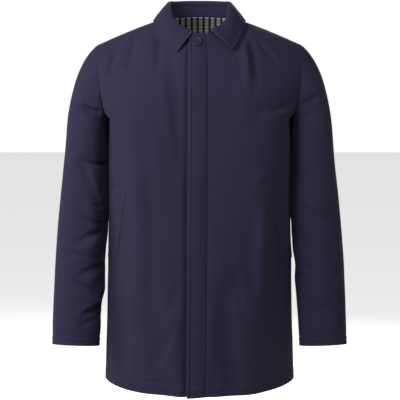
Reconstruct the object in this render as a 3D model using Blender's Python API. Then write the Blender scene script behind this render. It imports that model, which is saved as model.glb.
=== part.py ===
"""A single-breasted raincoat with a covered front, filled out as if worn.

Sizes are in millimetres and become metres when a mesh is made. +Z is up and
the front faces -Y, so the wearer's left is towards +X. The origin is between
the shoulders, at the base of the neck, where a wearer holds the coat up.

Every piece of cloth is a grid of points on its outer face, worked out from
sections of the body or the arm. Points that two pieces share at a seam share
one direction for their walls, so the walls meet edge to edge and stay a
seam's gap apart.
"""

import math
from typing import NamedTuple

import bmesh
import bpy
import numpy as np
from mathutils import Matrix, Vector

MM = 0.001

# Cloth
CLOTH = 2.0
COLLAR_CLOTH = 2.2
LINING_CLOTH = 1.0
SEAM_GAP = 0.3
LAYER_GAP = 0.5

# Lengths, from the shoulder line at the neck
HEM = -803.0
ARMPIT = -208.0
CHEST_LINE = -190.0
NECK_FRONT = -25.5
NECK_BACK = 14.5
NECK_SIDE = 10.5
NECK_HALF_WIDTH = 78.0

# Shoulder seam
SHOULDER_TIP = 226.0
SHOULDER_SLOPE = 0.33
SHOULDER_DROOP = 0.000487

# How soon the armhole, going up from the armpit, swings out to the shoulder
ARMHOLE_LEAN = 0.55

# Where the shoulder line stands along Y
BODY_CENTRE = 5.0

# How far below the shoulder line the chest and the back reach full depth
FRONT_REACH, FRONT_ROUND = 170.0, 0.60
BACK_REACH, BACK_ROUND = 120.0, 0.50

# Covered front: the wearer's left laps over the right
FLY_EDGE = -22.0
FLY_SLANT = -5.5
FLY_RAISE = CLOTH + LAYER_GAP
FLY_RAMP = (34.0, 43.0)
FLY_CORNER_DIP = 3.0
FLY_CORNER_REACH = 60.0

# Grid steps of the panels
SIDE_STEPS = 18
ARMHOLE_STEPS = 10
NECK_STEPS = 6
SHOULDER_STEPS = 8

# The share of a panel's rows, from the hem, whose columns keep their hem spacing
HEM_SPACED_SHARE = 0.4

# Grid steps over which folds fade out towards a seam
FADE_STEPS = 3.0

# Sleeve
CAP_STEPS = 6
SLEEVE_STEPS = 18
CAP_PULL = 170.0
SLEEVE_FOLD_RADIUS = 62.0

# How a sleeve leaves its armhole: each pair is a mean and its swing from top to armpit
CAP_LEAVE_OUT = (0.58, 0.24)
CAP_LEAVE_UP = (-0.77, 0.17)
CAP_LEAVE_SPREAD = 0.08
CAP_ARRIVE = (0.08, 0.0, -1.0)

# Collar
ROLL_RADIUS = 4.0
ROLL_RADIUS_AT_ENDS = 2.7
ROLL_STEPS = 5
STAND_BELOW_ROLL = 5.0
STAND_SHARE = 0.5
STAND_STEPS = 3
LEAF_STEPS = 6
LEAF_BULGE = 1.0
LEAF_BULGE_AT_ENDS = 5.0
COLLAR_LEAN = 9.8
COLLAR_TILT = 3.6
COLLAR_END = 170.0

# Pocket welts
WELT_WIDTH = 30.0
WELT_FOOT_WIDTH = 22.0
WELT_TOP = (158.0, -357.0)
WELT_FOOT = (183.0, -520.0)
WELT_CLOTH = 1.8
WELT_GAP = 0.6
WELT_STEPS = (6, 14)

# Lining of the upper back
LINING_FOOT = -235.0

# Neck button
BUTTON_RADIUS = 11.0
BUTTON_THICKNESS = 3.6
BUTTON_BEVEL = 0.8
BUTTON_SIDES = 28
BUTTON_HOLES = 4
BUTTON_HOLE_SIDES = 8
BUTTON_HOLE_RADIUS = 1.0
BUTTON_HOLE_OUT = 2.6
BUTTON_PLACE = (-5.0, -41.5)

# Colours, as linear values, and roughness
NAVY = (0.030, 0.029, 0.056)
DARK_NAVY = (0.020, 0.019, 0.036)
CREAM = (0.62, 0.58, 0.50)
CLOTH_ROUGHNESS = 0.85
BUTTON_ROUGHNESS = 0.35

# Faces that meet at more than this, in degrees, are shaded with a sharp edge
SHARP_ANGLE = 40.0

# Rounds and fineness of the searches for a place on a surface
PLACE_ROUNDS = 6
PLACE_FINENESS = 0.01


class SideSeam(NamedTuple):
    """A place on the side seam."""

    height: float
    out: float


SIDE_SEAM = (
    SideSeam(HEM, 216),
    SideSeam(-700, 212),
    SideSeam(-600, 208.5),
    SideSeam(-500, 206),
    SideSeam(-400, 204),
    SideSeam(-280, 203),
    SideSeam(ARMPIT, 200),
)


class BodySection(NamedTuple):
    """A level section of the body; above the armpit it runs past the armhole."""

    height: float
    past_armhole: float
    front_depth: float
    back_depth: float
    centre: float
    squareness: float
    corner: float


BODY_SECTIONS = (
    BodySection(HEM, 0, 155, 150, 0, 2.3, 0.60),
    BodySection(-700, 0, 152, 144, 0, 2.4, 0.59),
    BodySection(-600, 0, 149, 136, 0, 2.6, 0.57),
    BodySection(-500, 0, 146, 129, 0, 2.9, 0.54),
    BodySection(-400, 0, 143, 124, 0, 3.4, 0.51),
    BodySection(-280, 0, 140, 124, 0, 4.3, 0.47),
    BodySection(ARMPIT, 0, 138, 126, 2, 5.4, 0.43),
    BodySection(-193, 7, 138, 127, 3, 4.8, 0.45),
    BodySection(-175, 14, 138, 127, 4, 4.2, 0.47),
    BodySection(-153, 22, 138, 127, 4, 3.7, 0.48),
    BodySection(-128, 32, 138, 127, BODY_CENTRE, 3.4, 0.49),
    BodySection(-104, 46, 138, 127, BODY_CENTRE, 3.2, 0.50),
    BodySection(-80, 60, 138, 127, BODY_CENTRE, 3.2, 0.50),
    BodySection(40, 94, 138, 125, BODY_CENTRE, 3.2, 0.50),
)


class LapColumn(NamedTuple):
    """A column of a front beyond its neck seam: its distance out and its top."""

    out: float
    top: float


LEFT_LAP = (LapColumn(FLY_EDGE, -32.0), LapColumn(-11.0, -24.0), LapColumn(0.0, -22.5),
            LapColumn(12.0, -22.5))
LEFT_NECK_START = 22.0
RIGHT_LAP = (LapColumn(-10.0, -22.5), LapColumn(1.0, -22.5))
RIGHT_NECK_START = 13.0


class SleeveSection(NamedTuple):
    """A section across the wearer's left sleeve, below its cap."""

    height: float
    out: float
    forward: float
    half_breadth: float
    half_depth: float
    tilt: float
    squareness: float


SLEEVE_SECTIONS = (
    SleeveSection(-716, 278.0, 45, 52.5, 49, 0.04, 2.0),
    SleeveSection(-619, 273.7, 30, 54.4, 56, 0.05, 2.1),
    SleeveSection(-573, 271.0, 24, 55.0, 60, 0.06, 2.1),
    SleeveSection(-504, 266.0, 16, 56.0, 64, 0.06, 2.2),
    SleeveSection(-458, 263.0, 11, 55.0, 67, 0.06, 2.3),
    SleeveSection(-393, 259.5, 6, 52.0, 70, 0.07, 2.4),
    SleeveSection(-300, 253.5, 1, 46.5, 74, 0.16, 2.5),
    SleeveSection(-250, 251.0, 0, 43.5, 76, 0.35, 2.6),
)
CUFF = SLEEVE_SECTIONS[0].height
BICEP = SLEEVE_SECTIONS[-1].height
CUFF_FORWARD_TILT = 0.22


class CollarStation(NamedTuple):
    """The collar at one place round the neck, from the centre back (0)."""

    angle: float
    stand: float
    lean_in: float
    leaf_out: float
    leaf_forward: float
    leaf_lift: float


COLLAR_STATIONS = (
    CollarStation(0, 31.0, -3.0, 0, -88, 4.0),
    CollarStation(35, 32.0, -1.0, 56, -77, 4.0),
    CollarStation(65, 34.5, 6.0, 88, -46, 3.5),
    CollarStation(90, 35.5, 11.0, 101, -5, 3.0),
    CollarStation(112, 34.0, 9.0, 96, 40, 3.5),
    CollarStation(133, 21.0, 4.0, 84, 73, 4.5),
    CollarStation(152, 12.0, 1.0, 71, 93, 5.5),
    CollarStation(COLLAR_END, 6.5, -0.5, 57, 103, 6.0),
)


class Fold(NamedTuple):
    """A soft fold from one place to another; a trough has a negative rise.

    On a panel the places are the distance out from the centre, towards the
    wearer's left, and the height. On a sleeve they are the angle round from
    the outer side through the front, and the height.
    """

    from_across: float
    from_height: float
    to_across: float
    to_height: float
    half_width: float
    rise: float


FRONT_FOLDS = (
    Fold(-186, -56, -194, -112, 13, -4.0),
    Fold(-140, -30, -150, -80, 16, -3.0),
    Fold(-86, -60, -40, -300, 24, -3.5),
    Fold(-130, -330, -138, -620, 22, 4.5),
    Fold(-176, -480, -160, -720, 22, -4.0),
    Fold(-110, -560, -84, -800, 26, -4.0),
    Fold(-56, -640, -44, -800, 16, 3.0),
    Fold(112, -40, 122, -84, 14, -3.5),
    Fold(92, -60, 88, -200, 18, 3.0),
    Fold(130, -188, 200, -166, 16, -5.0),
    Fold(134, -330, 128, -640, 22, 4.5),
    Fold(62, -560, 70, -790, 20, -4.5),
    Fold(104, -600, 112, -800, 24, 4.0),
    Fold(168, -560, 158, -760, 22, -4.0),
)

BACK_FOLDS = (
    Fold(-150, -70, -110, -230, 24, -4.0),
    Fold(156, -84, 118, -250, 24, -4.0),
    Fold(-196, -210, -120, -300, 20, -4.0),
    Fold(192, -200, 128, -280, 20, -4.5),
    Fold(-70, -330, -96, -700, 30, -4.5),
    Fold(20, -420, 34, -800, 34, 5.0),
    Fold(88, -360, 106, -780, 30, -5.0),
    Fold(-150, -520, -168, -800, 26, 4.0),
    Fold(160, -560, 172, -800, 26, 4.0),
    Fold(-36, -600, -30, -800, 24, -4.0),
)

RIGHT_SLEEVE_FOLDS = (
    Fold(80, -190, 160, -202, 14, -6.0),
    Fold(86, -308, 165, -304, 16, -5.0),
    Fold(100, -462, 165, -442, 15, -5.0),
    Fold(104, -540, 172, -514, 15, -5.5),
    Fold(66, -506, 130, -518, 14, -2.5),
    Fold(112, -628, 182, -578, 16, 5.0),
    Fold(112, -642, 175, -634, 13, -5.5),
    Fold(-60, -250, -150, -330, 18, -4.5),
    Fold(-70, -470, -160, -430, 18, -5.0),
    Fold(-50, -560, -140, -590, 18, -4.0),
)

LEFT_SLEEVE_FOLDS = (
    Fold(70, -184, 160, -196, 14, -6.0),
    Fold(120, -330, 175, -318, 16, -4.0),
    Fold(40, -420, 110, -436, 18, -3.0),
    Fold(118, -470, 176, -440, 16, -4.5),
    Fold(130, -560, 180, -530, 16, -4.5),
    Fold(60, -620, 130, -640, 16, -3.0),
    Fold(-64, -260, -150, -320, 18, -4.5),
    Fold(-60, -440, -160, -460, 18, -5.0),
    Fold(-80, -560, -165, -530, 18, -4.5),
)


# Curves and surfaces ------------------------------------------------------

def through(stations, values, at):
    """A smooth curve through a short table, which never swings past it."""
    stations = np.asarray(stations, float)
    values = np.asarray(values, float)
    steps = np.diff(values) / np.diff(stations)
    before, after = steps[:-1], steps[1:]
    same_way = before * after > 0
    both = np.where(same_way, before + after, 1.0)
    inner = np.where(same_way, 2 * before * after / both, 0.0)
    slopes = np.concatenate([steps[:1], inner, steps[-1:]])
    at = np.clip(at, stations[0], stations[-1])
    k = np.clip(np.searchsorted(stations, at, side="right") - 1, 0, len(stations) - 2)
    span = stations[k + 1] - stations[k]
    t = (at - stations[k]) / span
    return hermite(values[k], slopes[k] * span, values[k + 1], slopes[k + 1] * span, t)


def hermite(start, start_pull, end, end_pull, t):
    """The cubic from start to end that leaves and arrives with these pulls."""
    return ((1 + 2 * t) * (1 - t) ** 2 * start + t * (1 - t) ** 2 * start_pull
            + t * t * (3 - 2 * t) * end + t * t * (t - 1) * end_pull)


def ease(value):
    """0 to 1 with level ends, as the value goes from 0 to 1."""
    value = np.clip(value, 0.0, 1.0)
    return value * value * (3 - 2 * value)


def column(table, name, at):
    """One named column of a table, read as a smooth curve of its first column."""
    stations = [row[0] for row in table]
    return through(stations, [getattr(row, name) for row in table], at)


def fold_rise(folds, across, height, across_size=1.0):
    """How far the folds lift each point off the plain surface."""
    rise = np.zeros(np.broadcast(across, height).shape)
    for fold in folds:
        along = np.array([(fold.to_across - fold.from_across) * across_size,
                          fold.to_height - fold.from_height])
        east = (across - fold.from_across) * across_size
        north = height - fold.from_height
        t = np.clip((east * along[0] + north * along[1]) / (along @ along), 0, 1)
        gap = np.hypot(east - t * along[0], north - t * along[1])
        rise = rise + fold.rise * np.exp(-(gap / fold.half_width) ** 2)
    return rise


def shoulder_height(out):
    """Height of the shoulder seam, and of its run-on over the neck."""
    past_neck = np.abs(out) - NECK_HALF_WIDTH
    seam = -SHOULDER_SLOPE * past_neck - SHOULDER_DROOP * past_neck ** 2
    level = SHOULDER_SLOPE * (-past_neck - past_neck ** 2 / (2 * NECK_HALF_WIDTH))
    return NECK_SIDE + np.where(past_neck > 0, seam, level)


def side_out(height):
    """Distance out of the side seam, or of the armhole above the armpit."""
    seam = column(SIDE_SEAM, "out", height)
    rise = np.clip((height - ARMPIT) / (shoulder_height(SHOULDER_TIP) - ARMPIT), 0, 1)
    return seam + (SHOULDER_TIP - seam) * rise ** ARMHOLE_LEAN


def flank(out, height):
    """How deep the section still is at this distance out, from 1 to 0."""
    half_breadth = side_out(height) + column(BODY_SECTIONS, "past_armhole", height)
    share = np.clip(np.abs(out) / half_breadth, 0, 1)
    squareness = column(BODY_SECTIONS, "squareness", height)
    return (1 - share ** squareness) ** column(BODY_SECTIONS, "corner", height)


def crown(drop, facing):
    """How deep the body is this far below the shoulder line, from 0 to 1."""
    reach, roundness = (FRONT_REACH, FRONT_ROUND) if facing < 0 else (BACK_REACH, BACK_ROUND)
    return np.sin(math.pi / 2 * np.clip(drop / reach, 0, 1)) ** roundness


def full_depth(height, facing):
    """Depth of the body's section in front (facing -1) or behind (+1)."""
    return column(BODY_SECTIONS, "front_depth" if facing < 0 else "back_depth", height)


def body_depth(out, height, facing):
    """Place of the body's outer face along Y."""
    reach = full_depth(height, facing) * flank(out, height)
    rounded = crown(shoulder_height(out) - height, facing)
    return column(BODY_SECTIONS, "centre", height) + facing * reach * rounded


def body_place(out, depth, facing):
    """The body's outer face over a place in plan near the neck, and its normal."""
    low, high = CHEST_LINE, float(shoulder_height(out))
    while high - low > PLACE_FINENESS:
        height = (low + high) / 2
        if facing * (body_depth(out, height, facing) - depth) > 0:
            low = height
        else:
            high = height
    across = body_depth(out + 1, height, facing) - body_depth(out - 1, height, facing)
    upward = body_depth(out, height + 1, facing) - body_depth(out, height - 1, facing)
    normal = facing * np.array([-across / 2, 1, -upward / 2])
    return np.array([out, depth, height]), unit(normal)


def armhole_point(turn, facing):
    """A point of the left armhole; turn is 0 at its top and pi at the armpit."""
    rise = (1 + np.cos(turn)) / 2
    height = ARMPIT + (shoulder_height(SHOULDER_TIP) - ARMPIT) * rise
    out = side_out(height)
    return np.stack([out, body_depth(out, height, facing), height], axis=-1)


def neck_height(turn, facing):
    """Height of the neck seam; turn is 0 at the centre and pi/2 at the shoulder."""
    if facing < 0:
        return NECK_FRONT + (NECK_SIDE - NECK_FRONT) * (1 - np.cos(turn))
    return NECK_SIDE + (NECK_BACK - NECK_SIDE) * np.cos(turn) ** 2


# Panels --------------------------------------------------------------------

class Sheet:
    """The outer face of one piece of cloth, as rows and columns of points."""

    def __init__(self, name, family, points, cloth, wraps=False):
        self.name = name
        self.family = family
        self.points = points
        self.cloth = cloth
        self.wraps = wraps
        self.normals = grid_normals(points, wraps)

    def fold(self, rise):
        """Move the points out along their normals, then face them again."""
        self.points = self.points + self.normals * rise[..., None]
        self.normals = grid_normals(self.points, self.wraps)

    def key(self, row, at):
        """A point's own numbers, the same in every sheet that it belongs to."""
        return tuple(np.round(self.points[row, at], 3))

    def place(self, out, height):
        """The row and column, with fractions, at a place seen from in front."""
        row = column_at = 0.0
        for _ in range(PLACE_ROUNDS):
            heights = lerp_columns(self.points[..., 2], column_at)
            row = float(np.interp(height, heights, np.arange(len(heights))))
            outs = lerp_rows(self.points[..., 0], row)
            column_at = float(np.interp(out, outs, np.arange(len(outs))))
        return row, column_at

    def at(self, row, column_at):
        """Point and normal between the grid's own points."""
        picked = []
        for grid in (self.points, self.normals):
            picked.append(lerp_columns(lerp_rows(grid, row)[None], column_at)[0])
        return picked[0], unit(picked[1])


def lerp_rows(grid, row):
    """A row between two rows of a grid."""
    low = min(int(row), grid.shape[0] - 2)
    return grid[low] + (grid[low + 1] - grid[low]) * (row - low)


def lerp_columns(grid, column_at):
    """A column between two columns of a grid."""
    low = min(int(column_at), grid.shape[1] - 2)
    return grid[:, low] + (grid[:, low + 1] - grid[:, low]) * (column_at - low)


def unit(vectors):
    """The same directions, one long."""
    return vectors / np.linalg.norm(vectors, axis=-1, keepdims=True)


def grid_across(points, wraps):
    """The way along each row."""
    if wraps:
        padded = np.concatenate([points[:, -1:], points, points[:, :1]], axis=1)
        return (padded[:, 2:] - padded[:, :-2]) / 2
    return np.gradient(points, axis=1)


def grid_normals(points, wraps):
    """Unit normals of a grid whose columns run anticlockwise from above, rows up."""
    return unit(np.cross(grid_across(points, wraps), np.gradient(points, axis=0)))


def mirrored(points):
    """The same grid on the other side of the body, still facing out."""
    return points[:, ::-1] * np.array([-1.0, 1.0, 1.0])


def half_panel(facing, laps, neck_start, lean=0.0):
    """Points of a front or of half the back, from its centre edge to its side.

    Rows go up from the hem to the neck and shoulder seams. The last column
    follows the side seam and then the armhole.
    """
    seam_heights = np.linspace(HEM, ARMPIT, SIDE_STEPS + 1)
    armhole = armhole_point(np.linspace(math.pi, 0, ARMHOLE_STEPS + 1)[1:], facing)
    sides = np.append(side_out(seam_heights), armhole[:, 0])

    lap_out = [lap.out for lap in laps]
    neck_turns = np.linspace(math.asin(neck_start / NECK_HALF_WIDTH), math.pi / 2,
                             NECK_STEPS + 1)
    shoulder_out = np.linspace(NECK_HALF_WIDTH, SHOULDER_TIP, SHOULDER_STEPS + 1)[1:]
    top_out = np.concatenate([lap_out, NECK_HALF_WIDTH * np.sin(neck_turns), shoulder_out])
    top_height = np.concatenate([[lap.top for lap in laps], neck_height(neck_turns, facing),
                                 shoulder_height(shoulder_out)])
    swings = np.linspace(math.asin(neck_start / sides[0]), math.pi / 2,
                         NECK_STEPS + SHOULDER_STEPS + 1)
    hem_out = np.concatenate([lap_out, sides[0] * np.sin(swings)])

    sideways = np.linspace(0, 1, len(top_out)) ** 2
    chest = CHEST_LINE + (ARMPIT - CHEST_LINE) * sideways
    rows = []
    for row, side in enumerate(sides):
        if row <= SIDE_STEPS:
            height = HEM + (chest - HEM) * row / SIDE_STEPS
        else:
            even = (row - SIDE_STEPS) / ARMHOLE_STEPS
            seam_point = armhole[row - SIDE_STEPS - 1]
            along = (seam_point[2] - ARMPIT) / (top_height[-1] - ARMPIT)
            height = chest + (top_height - chest) * (even + (along - even) * sideways)
        risen = (row / (len(sides) - 1) - HEM_SPACED_SHARE) / (1 - HEM_SPACED_SHARE)
        out = hem_out + (top_out - hem_out) * ease(risen)
        past_start = np.maximum(out - neck_start, 0)
        out = out + past_start * ((side - neck_start) / past_start[-1] - 1)
        slant = lean * (top_height - height) / (NECK_FRONT - HEM)
        out = out + slant * (1 - np.clip(out / side, 0, 1))
        rows.append(np.stack([out, body_depth(out, height, facing), height], axis=-1))
    points = np.array(rows)
    points[SIDE_STEPS + 1:, -1] = armhole
    return points


def fading(rows, columns, from_edge):
    """1 over a panel's middle and hem, and 0 at its side, armhole and top."""
    down = ease((rows - 1 - np.arange(rows)) / FADE_STEPS)
    across = ease((columns - 1 - np.arange(columns)) / FADE_STEPS)
    if not from_edge:
        across = across * across[::-1]
    return down[:, None] * across[None, :]


def front_sheet(name, side, laps, neck_start, raised):
    """One front; side is +1 for the wearer's left and -1 for the right."""
    points = half_panel(-1, laps, neck_start, side * FLY_SLANT)
    edge = FLY_EDGE + FLY_SLANT * (NECK_FRONT - points[..., 2]) / (NECK_FRONT - HEM)
    fade = fading(*points.shape[:2], from_edge=True)
    if side < 0:
        points, fade = mirrored(points), fade[:, ::-1]
    sheet = Sheet(name, "body", points, CLOTH)
    if raised:
        ramp = (points[..., 0] - edge - FLY_RAMP[0]) / (FLY_RAMP[1] - FLY_RAMP[0])
        sheet.fold(FLY_RAISE * (1 - ease(ramp)))
        past_edge = ease((points[0, :, 0] - edge[0]) / FLY_CORNER_REACH)
        sheet.points[0, :, 2] -= FLY_CORNER_DIP * (1 - past_edge)
    sheet.fold(fade * fold_rise(FRONT_FOLDS, points[..., 0], points[..., 2]))
    return sheet


def back_sheet():
    """The back, in one piece, from the wearer's left side to the right."""
    half = half_panel(+1, (), 0.0)
    points = np.concatenate([half[:, ::-1], mirrored(half[:, ::-1])[:, 1:]], axis=1)
    sheet = Sheet("back", "body", points, CLOTH)
    fade = fading(*points.shape[:2], from_edge=False)
    sheet.fold(fade * fold_rise(BACK_FOLDS, points[..., 0], points[..., 2]))
    return sheet


def sleeve_ring(section_height, turns, facings):
    """Points round the wearer's left sleeve at one section."""
    get = {name: float(column(SLEEVE_SECTIONS, name, section_height))
           for name in SleeveSection._fields}
    power = 2 / get["squareness"]
    east = get["half_breadth"] * np.sign(np.cos(turns)) * np.abs(np.cos(turns)) ** power
    north = get["half_depth"] * np.abs(np.sin(turns)) ** power * facings
    share = (BICEP - section_height) / (BICEP - CUFF)
    height = section_height + get["tilt"] * east - CUFF_FORWARD_TILT * share * north
    return np.stack([get["out"] + east, north - get["forward"], height], axis=-1)


def sleeve_sheet(name, side, folds):
    """A sleeve from its armhole to its cuff; rows go down, so it faces out."""
    front = np.linspace(0, math.pi, ARMHOLE_STEPS + 1)
    turns = np.concatenate([front, front[-2:0:-1]])
    facings = np.where(np.arange(len(turns)) <= ARMHOLE_STEPS, -1.0, 1.0)
    root = np.array([armhole_point(turn, facing) for turn, facing in zip(turns, facings)])
    bicep = sleeve_ring(BICEP, turns, facings)
    leave = np.stack([CAP_LEAVE_OUT[0] + CAP_LEAVE_OUT[1] * np.cos(turns),
                      CAP_LEAVE_SPREAD * facings * np.sin(turns),
                      CAP_LEAVE_UP[0] + CAP_LEAVE_UP[1] * np.cos(turns)], axis=-1)
    reach = np.linalg.norm(bicep - root, axis=-1, keepdims=True)
    pull = CAP_PULL * reach / reach.max()
    rings = [hermite(root, leave * pull, bicep, np.array(CAP_ARRIVE) * pull, t)
             for t in np.linspace(0, 1, CAP_STEPS + 1)[:-1]]
    rings += [sleeve_ring(height, turns, facings)
              for height in np.linspace(BICEP, CUFF, SLEEVE_STEPS + 1)]
    points = np.array(rings)

    angles = np.degrees(turns) * -facings
    degree = math.radians(1) * SLEEVE_FOLD_RADIUS
    fade = ease(np.arange(len(points)) / FADE_STEPS)[:, None]
    rise = fade * fold_rise(folds, angles[None, :], points[..., 2], degree)
    points = points[::-1, ::-1]
    rise = rise[::-1, ::-1]
    if side < 0:
        points, rise = mirrored(points), rise[:, ::-1]
    sheet = Sheet(name, "sleeve", points, CLOTH, wraps=True)
    sheet.fold(rise)
    return sheet


def collar_angles():
    """Angles of the collar's columns, from the wearer's left front to the right."""
    back = np.linspace(0, 90, NECK_STEPS + 1)
    ends = [math.degrees(math.asin(start / NECK_HALF_WIDTH))
            for start in (LEFT_NECK_START, RIGHT_NECK_START)]
    left, right = (180 - np.linspace(end, 90, NECK_STEPS + 1) for end in ends)
    return np.concatenate([left[:-1], back[::-1], -back[1:], -right[::-1][1:]])


def collar_frame(angle, first, last):
    """Where the collar stands at one angle round the neck.

    Gives the neck seam, the outward direction, the roll's centre and radius,
    the edge of the leaf, and how far the leaf bulges on its way there.
    """
    side = 1.0 if angle >= 0 else -1.0
    facing = 1 if abs(angle) < 90 else -1
    end = first if side > 0 else -last
    past_side = max(abs(angle) - 90, 0) / (end - 90)
    station = min(abs(angle), 90) + past_side * (COLLAR_END - 90)
    turn = math.radians(min(abs(angle), 180 - abs(angle)))
    out = side * NECK_HALF_WIDTH * math.sin(turn)
    height = float(neck_height(turn, facing))
    seam = np.array([out, float(body_depth(out, height, facing)), height])
    outward = np.array([math.sin(math.radians(angle)), math.cos(math.radians(angle)), 0])
    get = {name: float(column(COLLAR_STATIONS, name, station))
           for name in CollarStation._fields}
    top = seam + outward * -get["lean_in"] + np.array([0, 0, get["stand"]])
    leaf_out = side * get["leaf_out"] + COLLAR_LEAN * past_side ** 2
    leaf_depth = side * COLLAR_TILT * past_side ** 2 - get["leaf_forward"]
    below, normal = body_place(leaf_out, leaf_depth, -1 if leaf_depth < BODY_CENTRE else 1)
    leaf = below + normal * get["leaf_lift"]
    radius = ROLL_RADIUS + (ROLL_RADIUS_AT_ENDS - ROLL_RADIUS) * past_side ** 2
    bulge = LEAF_BULGE + (LEAF_BULGE_AT_ENDS - LEAF_BULGE) * past_side
    return seam, outward, top - np.array([0, 0, radius]), radius, leaf, bulge


def collar_sheets():
    """The stand inside the neck, and the collar that rolls over it."""
    angles = collar_angles()
    up = np.array([0.0, 0.0, 1.0])
    stand, fall = [], []
    for angle in angles:
        seam, outward, centre, radius, leaf, bulge = collar_frame(angle, angles[0],
                                                                  angles[-1])
        inner = centre - outward * radius
        room = inner[2] - seam[2]
        stand_top = inner - up * min(STAND_BELOW_ROLL, STAND_SHARE * room)
        behind = stand_top + outward * COLLAR_CLOTH - up * SEAM_GAP
        stand.append([seam + (behind - seam) * t for t in np.linspace(0, 1, STAND_STEPS + 1)])

        across = float((leaf - centre) @ outward)
        lean = math.atan2(max(across, 0), centre[2] - leaf[2])
        arc = [centre + radius * (math.cos(turn) * outward + math.sin(turn) * up)
               for turn in np.linspace(math.pi, lean, ROLL_STEPS + 1)]
        start = arc[-1]
        off = unit(np.cross(np.cross(leaf - start, outward), leaf - start)) * bulge
        leaf_rows = [start + (leaf - start) * t + off * math.sin(math.pi * t)
                     for t in np.linspace(0, 1, LEAF_STEPS + 1)[1:]]
        fall.append([stand_top] + arc + leaf_rows)
    stand = np.array(stand).transpose(1, 0, 2)
    fall = np.array(fall).transpose(1, 0, 2)[::-1]
    return (Sheet("collar_stand", "stand", stand, COLLAR_CLOTH),
            Sheet("collar", "fall", fall, COLLAR_CLOTH))


def welt_sheet(name, side, front):
    """A pocket welt on a front, made from the front's points, moved out."""
    steps_across, steps_down = WELT_STEPS
    top, foot = np.array(WELT_TOP), np.array(WELT_FOOT)
    rows = []
    for down in np.linspace(1, 0, steps_down + 1):
        out, height = top + (foot - top) * down
        width = WELT_WIDTH + (WELT_FOOT_WIDTH - WELT_WIDTH) * down
        row = []
        for across in np.linspace(0, width, steps_across + 1):
            point, normal = front.at(*front.place(side * (out + across), height))
            row.append(point + normal * (WELT_GAP + WELT_CLOTH))
        rows.append(row[::side])
    return Sheet(name, "welt", np.array(rows), WELT_CLOTH)


def lining_sheet(back):
    """The lining of the upper back, made from the back's points, moved in."""
    first = int(np.searchsorted(back.points[:, back.points.shape[1] // 2, 2], LINING_FOOT))
    picked = np.s_[first:, 1:-1]
    points = back.points[picked] - back.normals[picked] * (CLOTH + LAYER_GAP)
    return Sheet("back_lining", "lining", points, LINING_CLOTH)


# Solids ----------------------------------------------------------------------

def share_seam_normals(sheets):
    """Give points that coincide at a seam one direction for both walls."""
    pools = {}
    for sheet in sheets:
        rows, columns = sheet.points.shape[:2]
        for row in range(rows):
            for at in range(columns):
                if row in (0, rows - 1) or (not sheet.wraps and at in (0, columns - 1)):
                    pools.setdefault(sheet.key(row, at), []).append((sheet, row, at))
    for members in pools.values():
        families = {}
        for sheet, row, at in members:
            total = families.setdefault(sheet.family, np.zeros(3))
            total += sheet.normals[row, at]
        shared = unit(sum(unit(total) for total in families.values()))
        for sheet, row, at in members:
            sheet.normals[row, at] = shared


def beside_edge(points, normals, closed):
    """The way in the cloth, square to an edge, that is one unit off both its sides.

    It lies to the left of the edge, seen from outside.
    """
    if closed:
        points = np.concatenate([points[-1:], points, points[:1]])
        normals = np.concatenate([normals[-1:], normals, normals[:1]])
    ways = unit(np.cross(normals[1:] + normals[:-1], np.diff(points, axis=0)))
    if not closed:
        ways = np.concatenate([ways[:1], ways, ways[-1:]])
    before, after = ways[:-1], ways[1:]
    spread = 1 + np.sum(before * after, axis=-1, keepdims=True)
    return (before + after) / np.maximum(spread, 0.5)


def seam_retreat(sheet):
    """Half a seam's gap at every open edge, square to the edge and in the cloth."""
    points, normals = sheet.points, sheet.normals
    retreat = np.zeros_like(points)
    retreat[0] += beside_edge(points[0], normals[0], sheet.wraps)
    retreat[-1] -= beside_edge(points[-1], normals[-1], sheet.wraps)
    if not sheet.wraps:
        retreat[:, 0] -= beside_edge(points[:, 0], normals[:, 0], False)
        retreat[:, -1] += beside_edge(points[:, -1], normals[:, -1], False)
    return retreat * SEAM_GAP / 2


def cloth_solid(sheet, material):
    """Build one piece of cloth as a closed wall, its outer face on the sheet.

    Its edges are split the same way as those of the piece they are sewn to.
    """
    outer = sheet.points + seam_retreat(sheet)
    inner = outer - sheet.normals * sheet.cloth
    rows, columns = outer.shape[:2]
    spans = columns if sheet.wraps else columns - 1

    mesh = bmesh.new()
    row_of = mesh.verts.layers.int.new("row")
    column_of = mesh.verts.layers.int.new("column")
    inside = mesh.verts.layers.int.new("inside")
    bmesh.ops.create_grid(mesh, x_segments=spans, y_segments=rows - 1, size=1)
    for vertex in mesh.verts:
        vertex[row_of] = round((vertex.co.y + 1) / 2 * (rows - 1))
        vertex[column_of] = round((vertex.co.x + 1) / 2 * spans) % columns
        vertex.co = Vector(outer[vertex[row_of], vertex[column_of]]) * MM
    if sheet.wraps:
        bmesh.ops.remove_doubles(mesh, verts=mesh.verts, dist=MM * 0.001)
    grown = bmesh.ops.extrude_face_region(mesh, geom=mesh.faces[:], use_keep_orig=True)
    for vertex in (item for item in grown["geom"] if isinstance(item, bmesh.types.BMVert)):
        vertex.co = Vector(inner[vertex[row_of], vertex[column_of]]) * MM
        vertex[inside] = 1
    for face in mesh.faces[:]:
        if sum(vertex[inside] for vertex in face.verts) == 2:
            corners = sorted(face.verts, key=lambda vertex: (
                vertex[inside], sheet.key(vertex[row_of], vertex[column_of])))
            bmesh.utils.face_split(face, corners[0], corners[3])
    bmesh.ops.recalc_face_normals(mesh, faces=mesh.faces)
    return finished(mesh, sheet.name, material)


def finished(mesh, name, material):
    """Turn a bmesh into a named object with one material, shaded smooth."""
    data = bpy.data.meshes.new(name)
    mesh.to_mesh(data)
    mesh.free()
    data.materials.append(material)
    data.shade_smooth()
    data.set_sharp_from_angle(angle=math.radians(SHARP_ANGLE))
    thing = bpy.data.objects.new(name, data)
    bpy.context.scene.collection.objects.link(thing)
    return thing


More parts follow.
